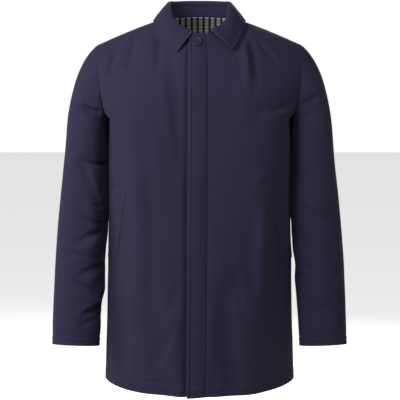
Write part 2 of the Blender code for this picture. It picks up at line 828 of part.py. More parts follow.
def plain_material(name, colour, roughness):
    """A plain finish for one kind of piece."""
    material = bpy.data.materials.new(name)
    material.use_nodes = True
    shader = material.node_tree.nodes["Principled BSDF"]
    shader.inputs["Base Color"].default_value = (*colour, 1.0)
    shader.inputs["Roughness"].default_value = roughness
    shader.inputs["Metallic"].default_value = 0.0
    return material


def neck_button(front, material):
    """The four-hole button at the neck, flat on the covered front."""
    mesh = bmesh.new()
    bmesh.ops.create_cone(mesh, cap_ends=True, segments=BUTTON_SIDES, radius1=BUTTON_RADIUS,
                          radius2=BUTTON_RADIUS, depth=BUTTON_THICKNESS)
    rims = [edge for edge in mesh.edges if abs(edge.verts[0].co.z - edge.verts[1].co.z) < 0.01]
    bmesh.ops.bevel(mesh, geom=rims, offset=BUTTON_BEVEL, segments=1, affect="EDGES",
                    profile=0.5, material=-1)
    bmesh.ops.scale(mesh, vec=(MM, MM, MM), verts=mesh.verts)
    button = finished(mesh, "neck_button", material)
    for polygon in button.data.polygons:
        polygon.use_smooth = abs(polygon.normal.z) < 0.9

    cutter_mesh = bmesh.new()
    for turn in range(BUTTON_HOLES):
        angle = math.tau * (turn + 0.5) / BUTTON_HOLES
        spot = Matrix.Translation((BUTTON_HOLE_OUT * math.cos(angle),
                                   BUTTON_HOLE_OUT * math.sin(angle), 0))
        bmesh.ops.create_cone(cutter_mesh, cap_ends=True, segments=BUTTON_HOLE_SIDES,
                              radius1=BUTTON_HOLE_RADIUS, radius2=BUTTON_HOLE_RADIUS,
                              depth=BUTTON_THICKNESS * 2, matrix=spot)
    bmesh.ops.scale(cutter_mesh, vec=(MM, MM, MM), verts=cutter_mesh.verts)
    cutter = finished(cutter_mesh, "neck_button_holes", material)
    cutter.hide_render = True
    cutter.display_type = "WIRE"
    holes = button.modifiers.new("holes", "BOOLEAN")
    holes.operation = "DIFFERENCE"
    holes.object = cutter

    point, normal = front.at(*front.place(*BUTTON_PLACE))
    place = Vector(point + normal * (BUTTON_THICKNESS / 2 + LAYER_GAP)) * MM
    turned = Vector((0, 0, 1)).rotation_difference(Vector(normal))
    for thing in (button, cutter):
        thing.rotation_mode = "QUATERNION"
        thing.rotation_quaternion = turned
        thing.location = place
    return button


def main():
    """Model the coat, a piece of cloth at a time."""
    for thing in list(bpy.data.objects):
        bpy.data.objects.remove(thing, do_unlink=True)

    front_left = front_sheet("front_left", +1, LEFT_LAP, LEFT_NECK_START, raised=True)
    front_right = front_sheet("front_right", -1, RIGHT_LAP, RIGHT_NECK_START, raised=False)
    back = back_sheet()
    sleeves = (sleeve_sheet("sleeve_left", +1, LEFT_SLEEVE_FOLDS),
               sleeve_sheet("sleeve_right", -1, RIGHT_SLEEVE_FOLDS))
    stand, collar = collar_sheets()
    shell = [front_left, front_right, back, *sleeves, stand, collar]
    share_seam_normals(shell)
    welts = [welt_sheet("pocket_welt_left", +1, front_left),
             welt_sheet("pocket_welt_right", -1, front_right)]

    navy = plain_material("navy cloth", NAVY, CLOTH_ROUGHNESS)
    for sheet in shell + welts:
        cloth_solid(sheet, navy)
    cloth_solid(lining_sheet(back), plain_material("check lining", CREAM, CLOTH_ROUGHNESS))
    neck_button(front_left, plain_material("button", DARK_NAVY, BUTTON_ROUGHNESS))


main()
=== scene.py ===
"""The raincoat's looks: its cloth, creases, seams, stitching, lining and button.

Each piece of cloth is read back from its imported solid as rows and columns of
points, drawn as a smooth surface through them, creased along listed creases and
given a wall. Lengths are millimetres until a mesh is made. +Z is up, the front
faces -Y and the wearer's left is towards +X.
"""

import logging
import math
from dataclasses import dataclass, field
from enum import Enum
from functools import reduce

import bmesh
import bpy
import numpy as np
from mathutils import Matrix, Vector, noise

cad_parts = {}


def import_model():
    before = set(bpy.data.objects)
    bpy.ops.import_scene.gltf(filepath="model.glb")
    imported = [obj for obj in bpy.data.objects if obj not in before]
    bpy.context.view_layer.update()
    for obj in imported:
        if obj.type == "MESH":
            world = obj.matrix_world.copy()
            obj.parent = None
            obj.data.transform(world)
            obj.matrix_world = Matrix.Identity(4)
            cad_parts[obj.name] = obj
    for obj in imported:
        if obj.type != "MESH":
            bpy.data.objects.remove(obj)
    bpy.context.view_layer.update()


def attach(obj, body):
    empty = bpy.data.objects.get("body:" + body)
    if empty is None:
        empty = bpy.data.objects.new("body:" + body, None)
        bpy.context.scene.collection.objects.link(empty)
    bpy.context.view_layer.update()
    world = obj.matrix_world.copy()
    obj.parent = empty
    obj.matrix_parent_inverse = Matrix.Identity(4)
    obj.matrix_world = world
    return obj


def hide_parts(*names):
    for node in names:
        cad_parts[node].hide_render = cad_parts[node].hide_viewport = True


log = logging.getLogger("raincoat")

MM = 0.001

# The body that every piece rides on
BODY = "root"


class Slot(Enum):
    """The record's material slots."""

    CLOTH = "navy_cloth"
    LINING = "check_lining"
    BUTTON = "button"


# Numbers and curves


def ease(value: np.ndarray) -> np.ndarray:
    """0 to 1 with level ends, as the value goes from 0 to 1."""
    value = np.clip(value, 0.0, 1.0)
    return value * value * (3 - 2 * value)


def unit(vectors: np.ndarray) -> np.ndarray:
    """The same directions, one long."""
    return vectors / np.maximum(np.linalg.norm(vectors, axis=-1, keepdims=True), 1e-12)


def smooth_through(points: np.ndarray, at: np.ndarray, closed: bool = False) -> np.ndarray:
    """Read the smooth curve through points that stand at whole numbers.

    Args:
        points: One point, or one row of points, for each whole number.
        at: The places to read, as numbers with fractions.
        closed: Whether the curve runs on from its last point to its first.

    Returns:
        The points at those places.
    """
    count = len(points)
    steps = np.arange(count)
    weights = 4 * np.eye(count) + np.eye(count)[steps - 1] + np.eye(count)[(steps + 1) % count]
    right = 6 * (np.roll(points, 1, axis=0) - 2 * points + np.roll(points, -1, axis=0))
    if not closed:
        ends = [0, -1]
        weights[ends] = np.eye(count)[ends]
        right[ends] = 0
        if count > 2:
            weights[0, 1] = weights[-1, -2] = -1
    bends = np.linalg.solve(weights, right.reshape(count, -1)).reshape(points.shape)
    low = np.floor(at).astype(int)
    if not closed:
        low = np.clip(low, 0, count - 2)
    t = (at - low).reshape(-1, *[1] * (points.ndim - 1))
    first, second = low % count, (low + 1) % count
    return (points[first] * (1 - t) + points[second] * t
            + ((t ** 3 - t) * bends[second] + ((1 - t) ** 3 - (1 - t)) * bends[first]) / 6)


def cornered_through(points: np.ndarray, at: np.ndarray, corners: list[int]) -> np.ndarray:
    """The same as smooth_through for an open curve, but free to turn at its corners."""
    stops = [0, *corners, len(points) - 1]
    read = np.empty((len(at), *points.shape[1:]))
    for first, last in zip(stops[:-1], stops[1:]):
        here = (at >= first) & (at <= last)
        read[here] = smooth_through(points[first:last + 1], at[here] - first)
    return read


def corners_of(line: np.ndarray, least_turn: float) -> list[int]:
    """The inner points of a line at which it turns by more than least_turn, in degrees."""
    ways = unit(np.diff(line, axis=0))
    turns = np.degrees(np.arccos(np.clip(np.sum(ways[1:] * ways[:-1], axis=-1), -1, 1)))
    return [int(k) + 1 for k in np.flatnonzero(turns > least_turn)]


# Meshes and objects


def as_data(mesh: bmesh.types.BMesh, name: str) -> bpy.types.Mesh:
    """Store a mesh that was being worked on, and free it."""
    data = bpy.data.meshes.new(name)
    mesh.to_mesh(data)
    mesh.free()
    return data


def points_of(data: bpy.types.Mesh) -> np.ndarray:
    """A stored mesh's points."""
    flat = np.empty(len(data.vertices) * 3, np.float32)
    data.vertices.foreach_get("co", flat)
    return flat.reshape(-1, 3)


def linked(name: str, data: bpy.types.ID) -> bpy.types.Object:
    """Put a mesh, a light or a camera into the scene, at the origin."""
    thing = bpy.data.objects.new(name, data)
    bpy.context.scene.collection.objects.link(thing)
    return thing


def finished(mesh: bmesh.types.BMesh, name: str, finish: bpy.types.Material) -> bpy.types.Object:
    """Turn a mesh in millimetres into a piece in metres.

    Args:
        mesh: The mesh, which is freed.
        name: Name of the piece.
        finish: Its finish.

    Returns:
        The piece, at the origin.
    """
    bmesh.ops.scale(mesh, vec=(MM, MM, MM), verts=mesh.verts)
    data = as_data(mesh, name)
    data.shade_smooth()
    data.materials.append(finish)
    return linked(name, data)


# Reading a solid back as a grid


@dataclass
class SolidFace:
    """The outer face of one packed cloth solid.

    The solid is a wall of one thickness, so its rim is made of the faces that
    have an edge exactly as long as the wall is thick.
    """

    node: str
    wall: float
    tube: bool = False

    MERGE = 0.02
    SAME_LENGTH = 0.004
    MOST_ABOVE = 6

    def grid(self) -> np.ndarray:
        """Read the outer face.

        Returns:
            Rows of points from the foot up, each from left to right seen from
            outside. A tube is cut open at the point nearest the body's middle,
            and its first column is repeated as its last.
        """
        mesh = bmesh.new()
        mesh.from_mesh(bpy.data.objects[self.node].data)
        bmesh.ops.scale(mesh, vec=(1 / MM, 1 / MM, 1 / MM), verts=mesh.verts)
        bmesh.ops.remove_doubles(mesh, verts=mesh.verts, dist=self.MERGE)
        faces = self._outer_faces(mesh)
        following = self._boundary(faces)
        row = self._foot(following)
        rows = [row + row[:1]] if self.tube else [row]
        while above := self._row_above(rows[-1], faces):
            rows.append(above)
        points = np.array([[vertex.co[:] for vertex in row] for row in rows])
        mesh.free()
        return points

    def _outer_faces(self, mesh: bmesh.types.BMesh) -> set:
        """The larger of the two sets of faces that the rim keeps apart."""
        def on_rim(face: bmesh.types.BMFace) -> bool:
            """Whether it has an edge as long as the wall is thick."""
            return any(abs(edge.calc_length() - self.wall) < self.SAME_LENGTH
                       for edge in face.edges)

        left = {face for face in mesh.faces if not on_rim(face)}
        islands = []
        while left:
            island = spread = {left.pop()}
            while spread:
                spread = {near for face in spread for edge in face.edges
                          for near in edge.link_faces} & left
                island = island | spread
                left -= spread
            islands.append(island)
        return max(islands, key=lambda island: sum(face.calc_area() for face in island))

    @staticmethod
    def _boundary(faces: set) -> dict:
        """Each boundary vertex with the next one, anticlockwise seen from outside."""
        following = {}
        for face in faces:
            for loop in face.loops:
                if sum(other in faces for other in loop.edge.link_faces) == 1:
                    following[loop.vert] = loop.link_loop_next.vert
        return following

    def _foot(self, following: dict) -> list:
        """The boundary's vertices along the foot, from left to right."""
        lines = []
        left = set(following)
        while left:
            line = [min(left, key=lambda vertex: (vertex.co.z, vertex.co.x))]
            while following[line[-1]] is not line[0]:
                line.append(following[line[-1]])
            left -= set(line)
            lines.append(line)
        if self.tube:
            line = min(lines, key=lambda line: sum(vertex.co.z for vertex in line) / len(line))
            start = min(range(len(line)), key=lambda k: abs(line[k].co.x))
            return line[start:] + line[:start]
        return self._flattest_side(lines[0])

    @staticmethod
    def _flattest_side(line: list) -> list:
        """Split a sheet's boundary at its four corners and pick the lower level side."""
        points = np.array([vertex.co[:] for vertex in line])
        count = len(points)
        ways = unit(np.roll(points, -1, axis=0) - points)
        turns = np.arccos(np.clip(np.sum(ways * np.roll(ways, 1, axis=0), axis=-1), -1, 1))
        half = count // 2
        options = [(first, first + along, first + half, first + half + along)
                   for first in range(half) for along in range(2, half - 1)]
        spots = max(options, key=lambda spots: sum(turns[spot % count] for spot in spots))
        spots += (spots[0] + count,)
        sides = [[line[k % count] for k in range(first, last + 1)]
                 for first, last in zip(spots, spots[1:])]

        def steepness(side: list) -> float:
            """How far a side climbs for its length."""
            heights = [vertex.co.z for vertex in side]
            length = sum((b.co - a.co).length for a, b in zip(side, side[1:]))
            return (max(heights) - min(heights)) / length

        pair = min((sides[0::2], sides[1::2]), key=lambda pair: steepness(pair[0])
                   + steepness(pair[1]))
        return min(pair, key=lambda side: sum(vertex.co.z for vertex in side) / len(side))

    def _row_above(self, row: list, faces: set) -> list | None:
        """Walk the strip of triangles over a row, and give the row along its top."""
        first = self._first_above(row, faces)
        if first is None:
            return None
        above, at = [first], 0
        while at < len(row) - 1 or len(above) < len(row):
            face = self._face_left_of(above[-1], row[at], faces)
            apex = next(vertex for vertex in face.verts if vertex not in (row[at], above[-1]))
            if at < len(row) - 1 and apex is row[at + 1]:
                at += 1
            else:
                above.append(apex)
        return above

    def _first_above(self, row: list, faces: set) -> bmesh.types.BMVert | None:
        """The vertex above a row's first one: of those the strip touches, the nearest."""
        start, after = row[0], row[1]
        found = []
        face = self._face_left_of(start, after, faces)
        while face is not None:
            after = next(vertex for vertex in face.verts if vertex not in (start, after))
            if self.tube and (after is row[-2] or len(found) == self.MOST_ABOVE):
                break
            found.append(after)
            face = self._face_left_of(start, after, faces)
        if not found:
            return None
        if self.tube:
            return min(found, key=lambda vertex: (vertex.co - start.co).length)
        return found[-1]

    @staticmethod
    def _face_left_of(start: bmesh.types.BMVert, end: bmesh.types.BMVert,
                      faces: set) -> bmesh.types.BMFace | None:
        """The face on the left of the way from start to end, seen from outside."""
        for loop in start.link_loops:
            if loop.face in faces and loop.link_loop_next.vert is end:
                return loop.face
        return None


# Creases


class Facing(Enum):
    """Which way a crease's cloth faces: its across, up and outward axes, and the sign."""

    FRONT = (0, 2, 1, -1.0)
    BACK = (0, 2, 1, 1.0)
    LEFT = (1, 2, 0, 1.0)
    RIGHT = (1, 2, 0, -1.0)
    TOP = (0, 1, 2, 1.0)


@dataclass(frozen=True)
class Crease:
    """A soft crease that follows a few places across and up, seen square on.

    Args:
        path: Places as (x, z) on the front and back, (y, z) on a side, (x, y) on top.
        half_width: Half the crease's width at its middle.
        rise: How high its crest stands; a trough has a negative rise.
        lean: From -1 to 1, how much wider the flank on the right of the way is.
        lip: The share of the rise that turns up again beside a trough.
        fade: How early the crease dies away towards its ends, 0 for not at all.
    """

    path: tuple[tuple[float, float], ...]
    half_width: float
    rise: float
    lean: float = 0.0
    lip: float = 0.35
    fade: float = 0.8
    facing: Facing = Facing.FRONT

    SIDE_FADE = 0.22
    END_WIDTH = 0.7
    SWELLING = 0.3
    LIP_PLACE = 1.9
    LIP_WIDTH = 0.9
    END = 0.05

    def rises(self, points: np.ndarray, normals: np.ndarray) -> np.ndarray:
        """How far this crease lifts each point."""
        across_axis, up_axis, outward_axis, sign = self.facing.value
        place = points[..., (across_axis, up_axis)]
        nearest = np.full(place.shape[:-1], np.inf)
        side = np.zeros_like(nearest)
        along = np.zeros_like(nearest)
        stops = np.array(self.path, float)
        lengths = np.linalg.norm(np.diff(stops, axis=0), axis=1)
        done = 0.0
        for start, way, length in zip(stops, np.diff(stops, axis=0), lengths):
            offset = place - start
            t = np.clip(offset @ way / length ** 2, 0, 1)
            gap = offset - t[..., None] * way
            distance = np.linalg.norm(gap, axis=-1)
            closer = distance < nearest
            nearest = np.where(closer, distance, nearest)
            turned = offset[..., 0] * way[1] - offset[..., 1] * way[0]
            side = np.where(closer, np.sign(turned), side)
            along = np.where(closer, (done + t * length) / lengths.sum(), along)
            done += length
        swelling = self.END_WIDTH + self.SWELLING * np.sin(math.pi * along)
        across = nearest / (self.half_width * (1 + self.lean * side) * swelling)
        strength = np.sin(math.pi * (self.END + (1 - 2 * self.END) * along)) ** self.fade
        lip = np.exp(-((across - self.LIP_PLACE) / self.LIP_WIDTH) ** 2)
        shape = np.exp(-across ** 2) - self.lip * lip
        turned_away = ease(normals[..., outward_axis] * sign / self.SIDE_FADE)
        return self.rise * shape * strength * turned_away


def creases(*rows: tuple, **shared: object) -> tuple[Crease, ...]:
    """Make creases from the rows of a table.

    Args:
        rows: Half width, rise and lean, then the places that the crease goes through.
        shared: What all of them share.

    Returns:
        The creases, in the order of the rows.
    """
    return tuple(Crease(tuple(path), half_width, rise, lean, **shared)
                 for half_width, rise, lean, *path in rows)


# Cloth


class Edge(Enum):
    """How one side of a piece of cloth is finished."""

    SEWN = "sewn to another piece"
    FOLDED = "turned in and pressed"


@dataclass(frozen=True)
class Stitching:
    """One line of stitches along a side.

    Args:
        distance: How far in from the edge it runs.
        dip: How deep the cloth is pulled in.
        before, after: How far the dip reaches towards the edge and away from it.
        core: How much deeper the thread pulls a narrow groove at its middle.
        pucker: How far the cloth puckers beside it.
    """

    distance: float
    dip: float = 0.35
    before: float = 1.1
    after: float = 1.1
    core: float = 0.0
    pucker: float = 0.12

    PUCKER_REACH = 5.0
    CORE_REACH = 1.5

    def relief(self, distance: np.ndarray, uneven: np.ndarray) -> np.ndarray:
        """How far the cloth is lifted at a distance from the edge."""
        offset = distance - self.distance
        reach = np.where(offset < 0, self.before, self.after)
        near = np.exp(-(offset / self.PUCKER_REACH) ** 2)
        return (self.pucker * uneven * near - self.dip * np.exp(-(offset / reach) ** 2)
                - self.core * np.exp(-(offset / self.CORE_REACH) ** 2))


@dataclass(frozen=True)
class Hand:
    """How a cloth behaves at its edges."""

    wall: float = 1.7
    seam_dip: float = 0.5
    seam_dip_reach: float = 1.5
    turning_rise: float = 0.3
    turning_place: float = 4.5
    turning_reach: float = 3.2
    fold_round: float = 0.8
    # How far in from a folded edge the cloth is painted paler: part chafing, part painted
    # highlight.
    rub_and_highlight_reach: float = 1.4
    closing: float = 0.17


@dataclass(frozen=True)
class Side:
    """One side of a piece: its finish, its stitch lines and its turn-up.

    Args:
        edge: Sewn or folded.
        stitches: Its stitch lines.
        turned: How wide a strip of the same cloth lies inside, behind the edge.
        hem: Width of a turned-up hem, which stands a little proud, or 0.
        rubbed_and_highlit: How much its fold is painted paler, from 0 to 1: part chafing, part
            painted highlight.
    """

    edge: Edge
    stitches: tuple[Stitching, ...] = ()
    turned: float = 0.0
    hem: float = 0.0
    # Share of the painted paler fold edge: part chafing, part painted highlight.
    rubbed_and_highlit: float = 1.0

    NEAR_EDGE = (0.0, 0.3, 0.8, 1.4, 2.2, 3.4, 5.2, 7.6)
    NEAR_STITCH = (-3.2, -1.8, -0.8, 0.0, 0.8, 1.8, 3.2)
    LEAST_GAP = 0.5
    LEAST_DISTANCE = 0.2
    HEM_RISE = 0.5
    HEM_STEP = 2.0

    def distances(self) -> list[float]:
        """Where lines of points run, in from the edge."""
        lines = set(self.NEAR_EDGE)
        for stitch in self.stitches:
            near = {stitch.distance + step for step in self.NEAR_STITCH}
            lines = {line for line in lines if line == 0.0
                     or all(abs(line - spot) > self.LEAST_GAP for spot in near)}
            lines |= {spot for spot in near if spot > self.LEAST_DISTANCE}
        return sorted(lines)

    def relief(self, distance: np.ndarray, uneven: np.ndarray, hand: Hand) -> np.ndarray:
        """How far this side's finish lifts the cloth at a distance from the edge."""
        if self.edge is Edge.SEWN:
            lift = -hand.seam_dip * np.exp(-(distance / hand.seam_dip_reach) ** 2)
            turning = (distance - hand.turning_place) / hand.turning_reach
            lift = lift + hand.turning_rise * np.exp(-turning ** 2)
        else:
            inside = 1 - np.clip(distance / hand.fold_round, 0, 1)
            lift = -hand.fold_round * (1 - np.sqrt(np.maximum(1 - inside ** 2, 0)))
        for stitch in self.stitches:
            lift = lift + stitch.relief(distance, uneven)
        if self.hem:
            past = (distance - self.hem + self.HEM_STEP / 2) / self.HEM_STEP
            lift = lift + self.HEM_RISE * (1 - ease(past))
        return lift


@dataclass
class Cloth:
    """One piece of cloth, from its solid to its finished mesh.

    Args:
        node: The solid it stands for.
        wall: How thick that solid's wall is.
        foot, top, left, right: The finish of its sides, seen from outside.
        cut: Width and length of the flat piece it was cut as, in millimetres; not used.
        cut_share: The share of that rectangle that the piece fills; not used.
        step: Distance between its points, away from edges and stitch lines.
        tube: Whether its left and right sides meet.
        creases: The creases pressed into it.
        ripple: Height of its slight, uneven waviness.
        sunk: How far it is pressed into what it lies on.
        slot: The record's slot that it takes its finish from.
    """

    node: str
    wall: float
    foot: Side
    top: Side
    left: Side
    right: Side
    cut: tuple[float, float]
    cut_share: float = 1.0
    step: float = 4.0
    tube: bool = False
    creases: tuple[Crease, ...] = ()
    ripple: float = 0.8
    sunk: float = 0.0
    hand: Hand = Hand()
    slot: Slot = Slot.CLOTH
    points: np.ndarray = field(init=False)
    normals: np.ndarray = field(init=False)
    edges: dict[str, np.ndarray] = field(init=False)

    DENSE = 12
    CORNER = 28.0
    CORNER_BLEND = 2.5
    LEAST_BETWEEN = 2.0
    NEAREST = 4
    CLEAR = 5
    CREASE_FADE = 9.0
    RIPPLE_LENGTH = 70.0
    PUCKER_LENGTH = 7.0
    THINNEST = 0.12
    FULL = 0.999
    CLEAR_OF_CROSSING = 0.3

    @property
    def sides(self) -> dict[str, Side]:
        """The four sides by name."""
        return {"left": self.left, "right": self.right, "foot": self.foot, "top": self.top}

    def __post_init__(self) -> None:
        """Draw the smooth surface, then crease and finish it."""
        self._respace(self._dense(SolidFace(self.node, self.wall, self.tube).grid()))
        self._face()
        self._press()

    def _dense(self, grid: np.ndarray) -> np.ndarray:
        """Draw the smooth surface through the grid, closely enough to measure on."""
        rows, columns = grid.shape[:2]
        across = np.linspace(0, columns - 1, (columns - 1) * self.DENSE + 1)
        up = np.linspace(0, rows - 1, (rows - 1) * self.DENSE + 1)
        lines = grid.transpose(1, 0, 2)
        if self.tube:
            wide = smooth_through(lines[:-1], across, closed=True)
            return smooth_through(wide.transpose(1, 0, 2), up)
        wide = smooth_through(lines, across)
        turned = cornered_through(lines, across, self._corners(grid[-1]))
        near_top = ease((np.arange(rows) - rows + 1 + self.CORNER_BLEND) / self.CORNER_BLEND)
        wide = (wide + (turned - wide) * near_top[None, :, None]).transpose(1, 0, 2)
        tall = smooth_through(wide, up)
        for line, from_side in ((grid[:, 0], across), (grid[:, -1], across[-1] - across)):
            corners = self._corners(line)[:1]
            if corners:
                turned = cornered_through(wide, up, corners)
                weight = ease(1 - from_side / self.CORNER_BLEND)
                tall = tall + (turned - tall) * weight[None, :, None]
        return tall

    def _corners(self, line: np.ndarray) -> list[int]:
        """Where an edge turns sharply, away from its ends."""
        return [corner for corner in corners_of(line, self.CORNER)
                if self.CLEAR < corner < len(line) - self.CLEAR]

    def _respace(self, surface: np.ndarray) -> None:
        """Put the points where the edges and stitch lines need them."""
        wide = self._along(surface.transpose(1, 0, 2), self.left, self.right)
        tall = self._along(wide.transpose(1, 0, 2), self.foot, self.top)
        self.points = tall[..., :3]
        self.edges = {name: tall[..., 3 + k] for k, name in enumerate(self.sides)}

    def _along(self, lines: np.ndarray, start: Side, end: Side) -> np.ndarray:
        """Space points anew along the first axis.

        Args:
            lines: Points, and anything carried with them, along each line.
            start: The side at which the lines begin.
            end: The side at which they end.

        Returns:
            The points anew, with their distances from start and from end added.
        """
        steps = np.linalg.norm(np.diff(lines[..., :3], axis=0), axis=-1)
        measured = np.concatenate([np.zeros((1, lines.shape[1])), np.cumsum(steps, axis=0)])
        near_start = np.array(start.distances())
        near_end = np.array(end.distances())[::-1]
        between = np.median(measured[-1]) - near_start[-1] - near_end[0]
        count = max(int(round(between / self.step)), 2)
        shares = np.linspace(0, 1, count + 1)[1:-1]
        result = []
        for k in range(lines.shape[1]):
            length = measured[-1, k]
            room = length / max(near_start[-1] + near_end[0] + self.LEAST_BETWEEN, length)
            first, last = near_start * room, length - near_end * room
            inner = first[-1] + (last[0] - first[-1]) * shares
            at = np.concatenate([first, inner, last])
            line = np.stack([np.interp(at, measured[:, k], lines[:, k, channel])
                             for channel in range(lines.shape[2])], axis=-1)
            result.append(np.column_stack([line, at, length - at]))
        return np.array(result).transpose(1, 0, 2)

    def _face(self) -> None:
        """Work out which way each point faces."""
        across = np.gradient(self.points, axis=1)
        if self.tube:
            joined = unit(across[:, 0]) + unit(across[:, -1])
            across[:, 0] = across[:, -1] = joined
        self.normals = unit(np.cross(unit(across), unit(np.gradient(self.points, axis=0))))

    def _press(self) -> None:
        """Crease the surface and finish its edges."""
        to_seam = np.full(self.points.shape[:2], np.inf)
        for name, side in self.sides.items():
            if side.edge is Edge.SEWN and not (self.tube and name in ("left", "right")):
                to_seam = np.minimum(to_seam, self.edges[name])
        lift = self.ripple * self._uneven(self.RIPPLE_LENGTH)
        for crease in self.creases:
            lift = lift + crease.rises(self.points, self.normals)
        lift = lift * ease(to_seam / self.CREASE_FADE) - self.sunk
        self.points = self.points + self.normals * lift[..., None]
        self._face()
        uneven = self._uneven(self.PUCKER_LENGTH)
        lift = sum(side.relief(self.edges[name], uneven, self.hand)
                   for name, side in self.sides.items())
        self.points = self.points + self.normals * lift[..., None]
        self._close()

    def _uneven(self, length: float) -> np.ndarray:
        """Waves of one length from -1 to 1, so that no stretch of cloth is quite even."""
        spots = (self.points / length).reshape(-1, 3).tolist()
        return np.array([noise.noise(spot) for spot in spots]).reshape(self.points.shape[:2])

    def _close(self) -> None:
        """Bring sewn edges together over the gap that their solids keep."""
        columns = self.points.transpose(1, 0, 2)
        for lines, side in ((columns[::-1], self.right), (columns, self.left),
                            (self.points[::-1], self.top), (self.points, self.foot)):
            if side.edge is Edge.SEWN:
                lines[0] += unit(lines[0] - lines[1]) * self.hand.closing

    def stitch_lines(self) -> list[tuple[np.ndarray, np.ndarray]]:
        """The points and normals along every stitch line, up to the lines they turn into."""
        self._face()
        lines = []
        for name, side in self.sides.items():
            for stitching in side.stitches:
                at = side.distances().index(stitching.distance)
                if name in ("right", "top"):
                    at = -1 - at
                pick = np.s_[:, at] if name in ("left", "right") else np.s_[at]
                kept = np.ones(len(self.points[pick]), bool)
                for other, crossed in self.sides.items():
                    if other != name and crossed.stitches:
                        margin = min(line.distance for line in crossed.stitches)
                        kept &= self.edges[other][pick] > margin - self.CLEAR_OF_CROSSING
                lines.append((self.points[pick][kept], self.normals[pick][kept]))
        return lines

    def spot(self, across: float, height: float) -> tuple[np.ndarray, np.ndarray]:
        """The point and normal at a place seen square on from the front."""
        gaps = np.linalg.norm(self.points[..., (0, 2)] - (across, height), axis=-1)
        gaps += np.where(self.normals[..., 1] < 0, 0.0, math.inf)
        nearest = np.argsort(gaps, axis=None)[:self.NEAREST]
        weights = 1 / (gaps.ravel()[nearest] + 0.01) ** 2
        weights = (weights / weights.sum())[:, None]
        point = (self.points.reshape(-1, 3)[nearest] * weights).sum(axis=0)
        normal = (self.normals.reshape(-1, 3)[nearest] * weights).sum(axis=0)
        return np.array([across, point[1], height]), unit(normal)

    def build(self, outer: bpy.types.Material, inner: bpy.types.Material) -> bpy.types.Object:
        """Make the piece's mesh, with its own map laid out like the flat cloth.

        Args:
            outer: The finish of the side that shows, and of what is turned in.
            inner: The finish of the rest of the inside.

        Returns:
            The finished piece.
        """
        rows, columns = self.points.shape[:2]
        mesh = bmesh.new()
        bmesh.ops.create_grid(mesh, x_segments=columns - 1, y_segments=rows - 1, size=1)
        name = f"{self.node}_cloth"
        data = as_data(mesh, name)
        data.vertices.foreach_set("co", (self.points * MM).astype(np.float32).ravel())
        corner_vertex = np.empty(len(data.loops), np.int32)
        data.loops.foreach_get("vertex_index", corner_vertex)
        middle = np.median(self.edges["left"].max(axis=1)) / 2
        width = self.edges["left"] + self.edges["right"]
        across = (self.edges["left"] - width / 2) + middle
        chart = np.stack([across, self.edges["foot"]], axis=-1).reshape(-1, 2) * MM
        layer = data.uv_layers.new(name="cloth")
        layer.data.foreach_set("uv", chart[corner_vertex].astype(np.float32).ravel())
        # A painted paler band along folded edges: part chafing, part painted highlight.
        wear_and_highlight = data.attributes.new("wear_and_highlight", "FLOAT", "POINT")
        wear_and_highlight.data.foreach_set("value", self._wear_and_highlight().astype(np.float32).ravel())
        turned = np.zeros(len(data.polygons), bool)
        for which, side in self.sides.items():
            near = self.edges[which].ravel()[corner_vertex].reshape(-1, 4).mean(axis=1)
            turned |= near < side.turned
        data.polygons.foreach_set("material_index", np.where(turned, 0, 1).astype(np.int32))
        for material in (outer, outer, inner):
            data.materials.append(material)
        data.shade_smooth()
        piece = linked(name, data)
        self._thicken(piece)
        return piece

    def _wear_and_highlight(self) -> np.ndarray:
        """Where the cloth is painted paler, from 0 to 1, along its folded edges: part chafing,
        part painted highlight.
        """
        rubbed_and_highlit = np.zeros(self.points.shape[:2])
        for distance, side in self._folds():
            near = side.rubbed_and_highlit * np.exp(-distance / self.hand.rub_and_highlight_reach)
            rubbed_and_highlit = np.maximum(rubbed_and_highlit, near)
        return rubbed_and_highlit

    def _folds(self) -> list[tuple[np.ndarray, Side]]:
        """Each folded side, with every point's distance from it."""
        return [(self.edges[name], side) for name, side in self.sides.items()
                if side.edge is Edge.FOLDED]

    def _thicken(self, piece: bpy.types.Object) -> None:
        """Give the cloth its wall, thinner at its folded edges so that they are round."""
        fullness = np.ones(self.points.shape[:2])
        for distance, _ in self._folds():
            share = np.clip(distance / self.hand.fold_round, 0, 1)
            swollen = (1 - self.THINNEST) * np.sqrt(1 - (1 - share) ** 2)
            fullness = np.minimum(fullness, self.THINNEST + swollen)
        group = piece.vertex_groups.new(name="wall")
        values = fullness.ravel()
        full = values > self.FULL
        group.add(np.flatnonzero(full).tolist(), 1.0, "REPLACE")
        for vertex in np.flatnonzero(~full).tolist():
            group.add([vertex], float(values[vertex]), "REPLACE")
        wall = piece.modifiers.new("wall", "SOLIDIFY")
        wall.thickness = self.hand.wall * MM
        wall.offset = -1.0
        wall.vertex_group = "wall"
        wall.thickness_vertex_group = 0.0
        wall.use_even_offset = False
        wall.use_rim = True
        wall.material_offset = 1
        wall.material_offset_rim = 0


# Thread


